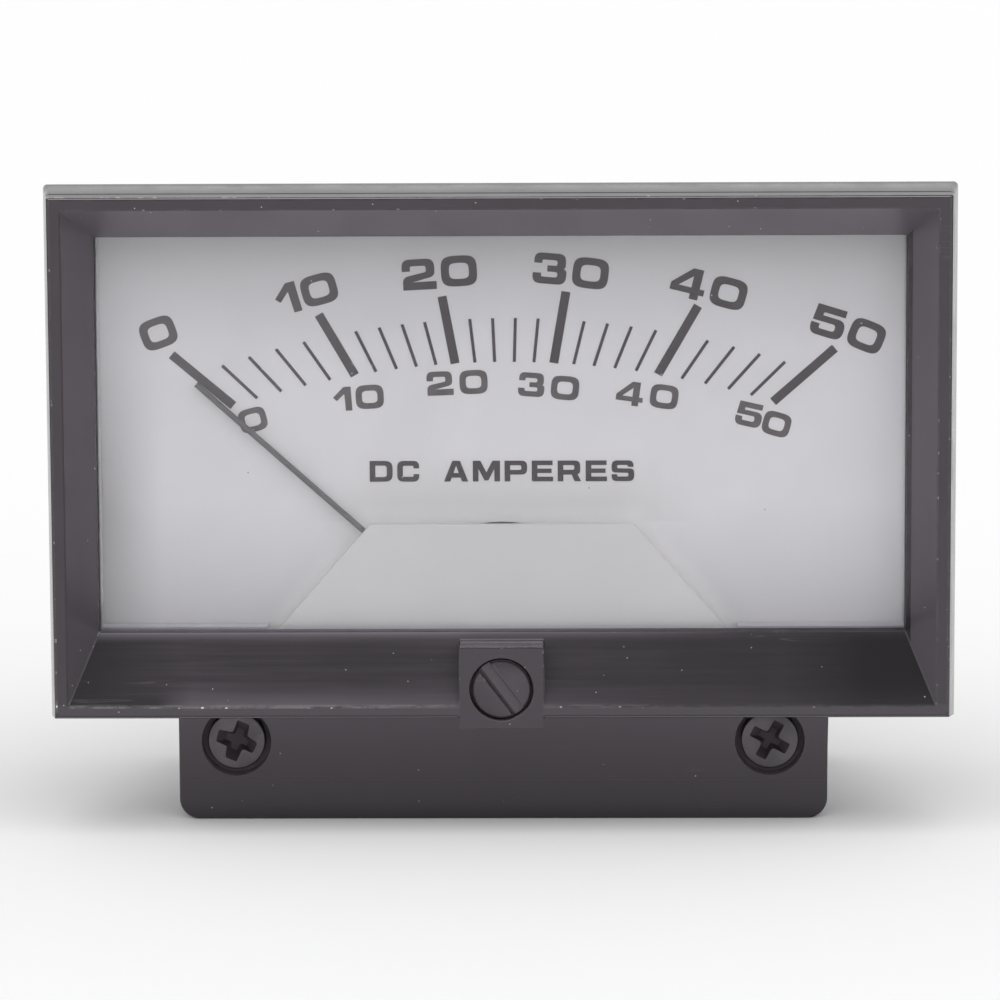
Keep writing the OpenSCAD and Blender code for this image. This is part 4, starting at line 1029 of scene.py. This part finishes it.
class AMMETER_OT_front(bpy.types.Operator):
    """Adds the front frame and the cover with rounded, rubbed edges, painted light and painted shade"""

    bl_idname = "ammeter.front"
    bl_label = "Frame and cover"

    ring = 0.35 * MM
    counterbore = 2.62 * MM
    tab_front = 5.9 * MM
    land = (2.9 * MM, 4.4 * MM)
    sill = (14 * MM, 15 * MM)
    rim_depth = 0.25 * MM
    rim_side = 29 * MM
    slope_side = 20 * MM
    hole_depth = 0.1 * MM
    bore_depth = 0.02 * MM

    def execute(self, context):
        plastic = colours().plastic
        edge = worn_edge_and_highlight("frame_edge", plastic)
        low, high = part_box("zero_adjust_screw")
        head_r = (high.x - low.x) / 2
        hole, reach = (0, high.z - head_r), head_r + self.ring
        off_hole = lambda a, b: min(off_axis(a, *hole), off_axis(b, *hole)) > reach
        frame_front = softened_copy(
            "bezel", "frame_front", sizes().edge_radius, off_hole, corner=sizes().corner_radius / 3
        )
        # The frame's body with painted reflection, highlights, sheen and shadow on its slopes, rim and boss
        body = moulded_plastic("frame_moulding_black", plastic, dust=0.1, shade=frame_painted_light, matt=seam_line)
        paint(
            frame_front, body, edge, dull_recess("land_dull"), dull_recess("gap_dull_painted_light", 3.0), dull_recess("rim_dull_line", 0.8),
            dull_recess("sill_dull_painted_light", shade=sill_painted_light),
        )
        # The walls of the hole round the adjuster: painted light against the shade of the narrow gap
        deep = FACE_Y + self.hole_depth
        paint_where(frame_front, 3, lambda c, n: c.y > deep and off_axis(c, *hole) < reach)
        near, far = (FACE_Y + d for d in self.land)
        foot, top = self.sill
        on_land = lambda c: near < c.y < far and c.z > foot
        # The land round the window is dull; the sill below it has painted reflection and painted shade
        paint_where(frame_front, 2, lambda c, n: on_land(c) and abs(n.y) < 0.1 and self.inward(c, n))
        paint_where(frame_front, 5, lambda c, n: on_land(c) and n.z > 0.9 and c.z < top)
        rim = FACE_Y + self.rim_depth
        on_rim = lambda c, n: c.x < -self.rim_side and c.y < rim and abs(n.z) < 0.3
        paint_where(frame_front, 4, lambda c, n: on_rim(c, n) and 0.12 < n.x < 0.8)
        slanted = lambda c, n: abs(c.x) > self.slope_side and min(abs(n.x), abs(n.z)) > 0.2
        paint_where(frame_front, 0, lambda c, n: c.y < near and slanted(c, n) and self.inward(c, n))
        carry(frame_front, "case", "frame_plastic", "bezel")
        bore = right_one("case_screws")[0]
        around = lambda c: off_axis(bore, abs(c.x), c.z) < self.counterbore
        cover = softened_copy(
            "front_cover", "cover_shell", sizes().edge_radius, lambda a, b: not (around(a) or around(b)),
            corner=sizes().corner_radius,
        )
        # The cover with painted light on its tab, paler towards the top
        body = moulded_plastic(
            "cover_moulding_black", plastic, (0.14, 0.23), 0.06, shade=tab_painted_light, matt=cover_matt
        )
        paint(cover, body, edge, dull_recess("bore_dull_painted_light", 2.5))
        # The floor of the counterbores: painted light against their shade
        floor = FACE_Y + self.tab_front + self.bore_depth
        paint_where(cover, 2, lambda c, n: around(c) and c.y > floor)
        carry(cover, "case", "cover_plastic", "front_cover")
        return {"FINISHED"}

    def inward(self, centre, normal):
        """Whether a face looks towards the middle of the window."""
        return normal.dot(Vector((-centre.x, 0, FACE_Z - centre.z))) > 0


class AMMETER_OT_back(bpy.types.Operator):
    """Adds the rear case with rounded edges"""

    bl_idname = "ammeter.back"
    bl_label = "Rear case"

    def execute(self, context):
        plastic = scaled(colours().plastic, 0.9)
        radius = sizes().case_edge_radius
        case = softened_copy("rear_case", "back_case", radius, lambda a, b: (b - a).length > 3 * radius)
        body = moulded_plastic("case_moulding_black", plastic, (0.3, 0.46), 0.08, 0.14)
        paint(case, body, worn_edge_and_highlight("case_edge", plastic))
        carry(case, "case", "case_plastic", "rear_case")
        return {"FINISHED"}


class AMMETER_OT_window(bpy.types.Operator):
    """Gives the window its clear plastic"""

    bl_idname = "ammeter.window"
    bl_label = "Window"

    def execute(self, context):
        paint(frame["nodes"]["window"], clear_plastic())
        return {"FINISHED"}


class AMMETER_OT_adjuster(bpy.types.Operator):
    """Adds the slotted zero adjuster"""

    bl_idname = "ammeter.adjuster"
    bl_label = "Zero adjuster"

    def execute(self, context):
        plastic, edge_r = colours().plastic, sizes().edge_radius
        head = softened_copy(
            "zero_adjust_screw", "adjuster_head", edge_r * 0.6, lambda a, b: (b - a).length > edge_r * 8
        )
        # Painted light on the slot's floor and a painted shadow along its lower left side
        top = moulded_plastic("adjuster_black", scaled(plastic, 1.45), (0.2, 0.32), 0.16, shade=slot_painted_light)
        paint(head, top, worn_edge_and_highlight("adjuster_edge", plastic), bpy.data.materials["gap_dull_painted_light"])
        low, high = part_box("zero_adjust_screw")
        radius = (high.x - low.x) / 2
        # Its side wall gets the gap material, painted light against the shade of the gap
        wall = radius - 0.1 * MM
        paint_where(head, 2, lambda c, n: abs(n.y) < 0.3 and off_axis(c, 0, high.z - radius) > wall)
        carry(head, "zero_adjuster", "adjuster_plastic", "zero_adjust_screw")
        return {"FINISHED"}


class AMMETER_OT_case_screws(bpy.types.Operator):
    """Adds the two cross-head case screws, the left one with a worn recess"""

    bl_idname = "ammeter.case_screws"
    bl_label = "Case screws"

    head_t = 1.2 * MM
    shank_r = 1.0 * MM
    recess = 0.7 * MM
    recess_r = 1.7 * MM
    edge_r = 0.12 * MM
    taper = 0.55
    # Outlines of the recesses: corners with a radius, in mm
    clean_cross = [
        (0.42, 1.48, 0.12), (0.42, 0.42, 0.3), (1.48, 0.42, 0.12), (1.48, -0.42, 0.12), (0.42, -0.42, 0.3),
        (0.42, -1.48, 0.12), (-0.42, -1.48, 0.12), (-0.42, -0.42, 0.3), (-1.48, -0.42, 0.12),
        (-1.48, 0.42, 0.12), (-0.42, 0.42, 0.3), (-0.42, 1.48, 0.12),
    ]
    worn_cross = [
        (0.5, 1.42, 0.16), (0.62, 0.6, 0.2), (1.5, 0.36, 0.2), (1.42, -0.5, 0.18), (0.6, -0.42, 0.25),
        (0.5, -1.5, 0.14), (-0.4, -1.44, 0.2), (-0.56, -0.62, 0.2), (-1.42, -0.56, 0.16), (-1.52, 0.36, 0.2),
        (-0.46, 0.5, 0.3), (-0.46, 1.5, 0.12),
    ]

    def head_and_shank(self, name, radius, length):
        screw = turned(name, radius, self.head_t, 0.0, 0.0, 64)
        edit(screw)
        select_faces(screw, lambda centre, normal: normal.z < -0.9)
        bpy.ops.mesh.bevel(offset=self.edge_r, segments=3, affect="EDGES")
        select_faces(screw, lambda centre, normal: normal.z > 0.9)
        bpy.ops.mesh.inset(thickness=radius - self.shank_r)
        bpy.ops.mesh.extrude_region_move(TRANSFORM_OT_translate={"value": (0, 0, length - self.head_t)})
        close_edit()
        return screw

    def cutter(self, corners):
        """A tapered cross, deep along +Y from just in front of the head."""
        outline = rounded([(x * MM, z * MM, r * MM) for x, z, r in corners])
        tool = flat_shape("recess", [outline], self.recess)[0]
        edit(tool, "VERT")
        select_faces(tool, lambda centre, normal: normal.y > 0.9)
        bpy.ops.transform.resize(value=(self.taper, 1, self.taper), center_override=(0, self.recess / 2, 0))
        close_edit()
        tool.location.y = self.recess * 0.46
        return tool

    def execute(self, context):
        place, radius, length = right_one("case_screws")
        floor = self.recess * 1.05
        in_recess = lambda c, n: 0.02 * MM < c.y < floor and off_axis(c, 0, 0) < self.recess_r
        steel = metal("blackened_steel", (0.115, 0.105, 0.115), (0.3, 0.5), (1, 1, 1), 0.5)
        # The cross recess gets a dark dull steel: painted shade
        deep = metal("recess_steel_painted_shade", (0.042, 0.032, 0.038), (0.6, 0.75), (1, 1, 1), 0.5, 0.0)
        for name, side, corners, turn in (
            ("cover_screw_left", -1, self.worn_cross, 20),
            ("cover_screw_right", 1, self.clean_cross, 28),
        ):
            screw = self.head_and_shank(name, radius, length)
            lay_back(screw, 0, 0, 0)
            tool = self.cutter(corners)
            tool.rotation_euler = (0, math.radians(turn), 0)
            place_in_mesh(tool)
            cut(screw, tool, "DIFFERENCE")
            paint(screw, steel, deep)
            paint_where(screw, 1, in_recess)
            screw.location = (side * place.x, place.y, place.z)
            place_in_mesh(screw)
            smooth(screw, 35)
            carry(screw, "case", "dark_steel", "case_screws")
        return {"FINISHED"}


class AMMETER_OT_dial(bpy.types.Operator):
    """Paints the dial and the mask and prints the marks of the scale"""

    bl_idname = "ammeter.dial"
    bl_label = "Dial and mask"

    def execute(self, context):
        nodes, tones = frame["nodes"], colours()
        # The dial with painted light to its sides and near the mask, and painted shade towards its edges
        dial = painted("dial_paint_grey", tones.dial, speck=0.12, sides=1.06, shade=dial_painted_light)
        paint(nodes["dial_plate"], dial)
        paint(nodes["scale_marks"], printed_ink("dial_print", tones.ink))
        paint(nodes["movement_mask"], painted("mask_white", tones.mask, (0.4, 0.55), 0.01, 0.02))
        return {"FINISHED"}


class AMMETER_OT_numbers(bpy.types.Operator):
    """Prints the numbers of the scale and the unit on the dial"""

    bl_idname = "ammeter.numbers"
    bl_label = "Numbers and unit"

    def print_at(self, model, x, z, turn, height):
        """A copy of a character on the dial, at a place in mm from the middle of the face."""
        top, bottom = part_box("scale_marks")[0].y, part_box("dial_plate")[0].y
        copy = duplicate(model, model.name + "_print")
        copy.scale = (height, bottom - top, height)
        copy.rotation_euler = (0, math.radians(-turn), 0)
        copy.location = (x * MM, (top + bottom) / 2, FACE_Z + z * MM)
        place_in_mesh(copy)
        return copy

    def finish(self, name, prints, ink):
        number = join(name, prints)
        smooth(number, 20)
        paint(number, ink)
        carry(number, "case", "ink")

    def execute(self, context):
        ink = bpy.data.materials["dial_print"]
        pale = printed_ink("dial_print_pale", colours().pale_ink)
        models = {glyph: character(glyph) for glyph in "012345" + "".join(sorted(set(LETTERING) - {" "}))}
        for ring, numbers, height, print_ink in (
            ("outer", OUTER_NUMBERS, sizes().outer_number, ink),
            ("inner", INNER_NUMBERS, sizes().inner_number, pale),
        ):
            for number, digits in numbers.items():
                prints = [self.print_at(models[g][0], x, z, turn, height) for g, x, z, turn in digits]
                self.finish(f"number_{ring}_{number}", prints, print_ink)
        height = sizes().lettering
        widths = [WORD_GAP if c == " " else models[c][1] for c in LETTERING]
        x = -(sum(widths) + LETTER_GAP * (len(LETTERING) - 1)) / 2
        prints = []
        for letter, width in zip(LETTERING, widths):
            if letter != " ":
                middle = (x + width / 2) * height / MM
                prints.append(self.print_at(models[letter][0], middle, LETTERING_UP, 0, height))
            x += width + LETTER_GAP
        self.finish("unit_lettering", prints, ink)
        for model, width in models.values():
            remove(model)
        return {"FINISHED"}


class AMMETER_OT_pointer(bpy.types.Operator):
    """Finishes the pointer"""

    bl_idname = "ammeter.pointer"
    bl_label = "Pointer"

    def execute(self, context):
        black = painted("pointer_black", (0.095, 0.093, 0.102), (0.3, 0.45), 0.0, 0.2)
        paint(frame["nodes"]["pointer"], black)
        return {"FINISHED"}


class AMMETER_OT_terminals(bpy.types.Operator):
    """Adds the two terminal studs with a hexagon and a thread, and finishes their washers and nuts"""

    bl_idname = "ammeter.terminals"
    bl_label = "Terminals"

    shank_r = 1.5 * MM
    thread_r = 2.0 * MM
    hexagon_t = 3.2 * MM
    relief = 0.3 * MM
    relief_depth = 0.35 * MM
    end_bevel = 0.1 * MM
    chamfer = 0.5 * MM

    def execute(self, context):
        brass = metal("terminal_brass_turned", colours().brass, (0.22, 0.4), (1, 0.02, 1), 0.45)
        stud, half_flats, length = right_one("terminal_studs")
        washer = right_one("terminal_washers")[0]
        corner = half_flats / math.cos(math.radians(30))
        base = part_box("terminal_washers")[1].y - stud.y
        free = base + self.hexagon_t
        lengths = [
            turned("shank", self.shank_r, base + self.hexagon_t / 2, 0.0, self.end_bevel),
            hexagon("hexagon", corner, self.hexagon_t, base, self.chamfer),
            turned("relief", self.thread_r - self.relief_depth, self.relief * 2, free - self.relief),
            threaded_rod("thread", self.thread_r, length - free, free, sizes().terminal_pitch),
        ]
        place = (washer.x, stud.y, stud.z)
        add_pair("terminal", lengths, place, brass, "terminal_brass", "terminal_studs")
        for node in ("terminal_washers", "terminal_nuts"):
            paint(frame["nodes"][node], brass)
        return {"FINISHED"}


class AMMETER_OT_studs(bpy.types.Operator):
    """Adds the two threaded mounting studs"""

    bl_idname = "ammeter.studs"
    bl_label = "Mounting studs"

    head_t = 0.7 * MM
    collar_r = 1.9 * MM
    collar_t = 1.8 * MM
    thread_r = 1.5 * MM
    overlap = 0.2 * MM
    head_bevel = 0.15 * MM
    collar_bevel = 0.1 * MM

    def execute(self, context):
        steel = metal("stud_steel", colours().steel, (0.25, 0.42), (1, 0.02, 1), 0.3)
        place, head_r, length = right_one("mounting_studs")
        collar_start, collar_end = self.head_t / 2, self.head_t + self.collar_t
        start = collar_end - self.overlap
        lengths = [
            turned("head", head_r, self.head_t, 0.0, self.head_bevel),
            turned("collar", self.collar_r, collar_end - collar_start, collar_start, self.collar_bevel),
            threaded_rod("thread", self.thread_r, length - start, start, sizes().stud_pitch),
        ]
        add_pair("mounting_stud", lengths, place, steel, "bright_steel", "mounting_studs")
        return {"FINISHED"}


class AMMETER_OT_movement(bpy.types.Operator):
    """Finishes the pieces of the movement inside the case"""

    bl_idname = "ammeter.movement"
    bl_label = "Movement"

    def execute(self, context):
        brass, steel = colours().brass, colours().steel
        bronze = metal("spring_bronze_rolled", (0.72, 0.42, 0.2), (0.25, 0.4), (1, 1, 1), 0.2)
        bright = metal("screw_steel", steel, (0.2, 0.36), (1, 1, 0.05), 0.2)
        sheet = metal("brass_sheet", brass, (0.26, 0.44), (0.03, 1, 1), 0.4)
        brown = moulded_plastic("frame_moulding_brown", (0.12, 0.06, 0.03), (0.4, 0.55), 0.02)
        finishes = {
            sheet: (
                "front_bridge", "rear_bridge", "front_jewel_screw", "rear_jewel_screw", "front_locknut",
                "rear_locknut", "balance_weights", "front_lead", "rear_lead",
            ),
            bright: ("dial_screws", "frame_screws", "bridge_screws", "front_pivot", "rear_pivot"),
            bronze: ("zero_lever", "rear_anchor", "front_hairspring", "rear_hairspring"),
            metal("plated_iron_turned", (0.72, 0.71, 0.7), (0.4, 0.6), (1, 0.03, 1), 0.3): ("yoke_ring",),
            metal("magnet_ground", (0.22, 0.22, 0.23), (0.35, 0.5), (1, 1, 0.04), 0.5): ("core_magnet",),
            metal("spacer_alloy", (0.55, 0.52, 0.46), (0.35, 0.5), (1, 1, 0.05), 0.3): ("core_spacers",),
            metal("former_aluminium", (0.75, 0.75, 0.76), (0.3, 0.45), (1, 0.05, 1), 0.15): ("coil_former",),
            wound_wire("enamelled_wire", (0.6, 0.2, 0.07)): ("coil_winding",),
            brown: ("movement_frame",),
            painted("jewel_ruby", (0.45, 0.01, 0.03), (0.05, 0.12), 0.0, 0.1): ("front_jewel", "rear_jewel"),
        }
        for material, nodes in finishes.items():
            for node in nodes:
                paint(frame["nodes"][node], material)
        return {"FINISHED"}


class AMMETER_PT_panel(bpy.types.Panel):
    """Lists the steps that dress the ammeter"""

    bl_label = "Ammeter"
    bl_idname = "AMMETER_PT_panel"
    bl_space_type = "VIEW_3D"
    bl_region_type = "UI"
    bl_category = "Ammeter"

    def draw(self, context):
        for operator in OPERATORS:
            self.layout.operator(operator.bl_idname)
        for group in (context.scene.ammeter_sizes, context.scene.ammeter_colours):
            for name in group.__annotations__:
                self.layout.prop(group, name)


OPERATORS = (
    AMMETER_OT_stage,
    AMMETER_OT_front,
    AMMETER_OT_back,
    AMMETER_OT_window,
    AMMETER_OT_adjuster,
    AMMETER_OT_case_screws,
    AMMETER_OT_dial,
    AMMETER_OT_numbers,
    AMMETER_OT_pointer,
    AMMETER_OT_terminals,
    AMMETER_OT_studs,
    AMMETER_OT_movement,
)
CLASSES = (AmmeterSizes, AmmeterColours, *OPERATORS, AMMETER_PT_panel)


def register():
    for cls in CLASSES:
        bpy.utils.register_class(cls)
    bpy.types.Scene.ammeter_sizes = PointerProperty(type=AmmeterSizes)
    bpy.types.Scene.ammeter_colours = PointerProperty(type=AmmeterColours)


def unregister():
    del bpy.types.Scene.ammeter_colours
    del bpy.types.Scene.ammeter_sizes
    for cls in reversed(CLASSES):
        bpy.utils.unregister_class(cls)


def main():
    register()
    bpy.ops.ammeter.stage()
    bpy.ops.ammeter.front()
    bpy.ops.ammeter.back()
    bpy.ops.ammeter.window()
    bpy.ops.ammeter.adjuster()
    bpy.ops.ammeter.case_screws()
    bpy.ops.ammeter.dial()
    bpy.ops.ammeter.numbers()
    bpy.ops.ammeter.pointer()
    bpy.ops.ammeter.terminals()
    bpy.ops.ammeter.studs()
    bpy.ops.ammeter.movement()


if __name__ == "__main__":
    main()
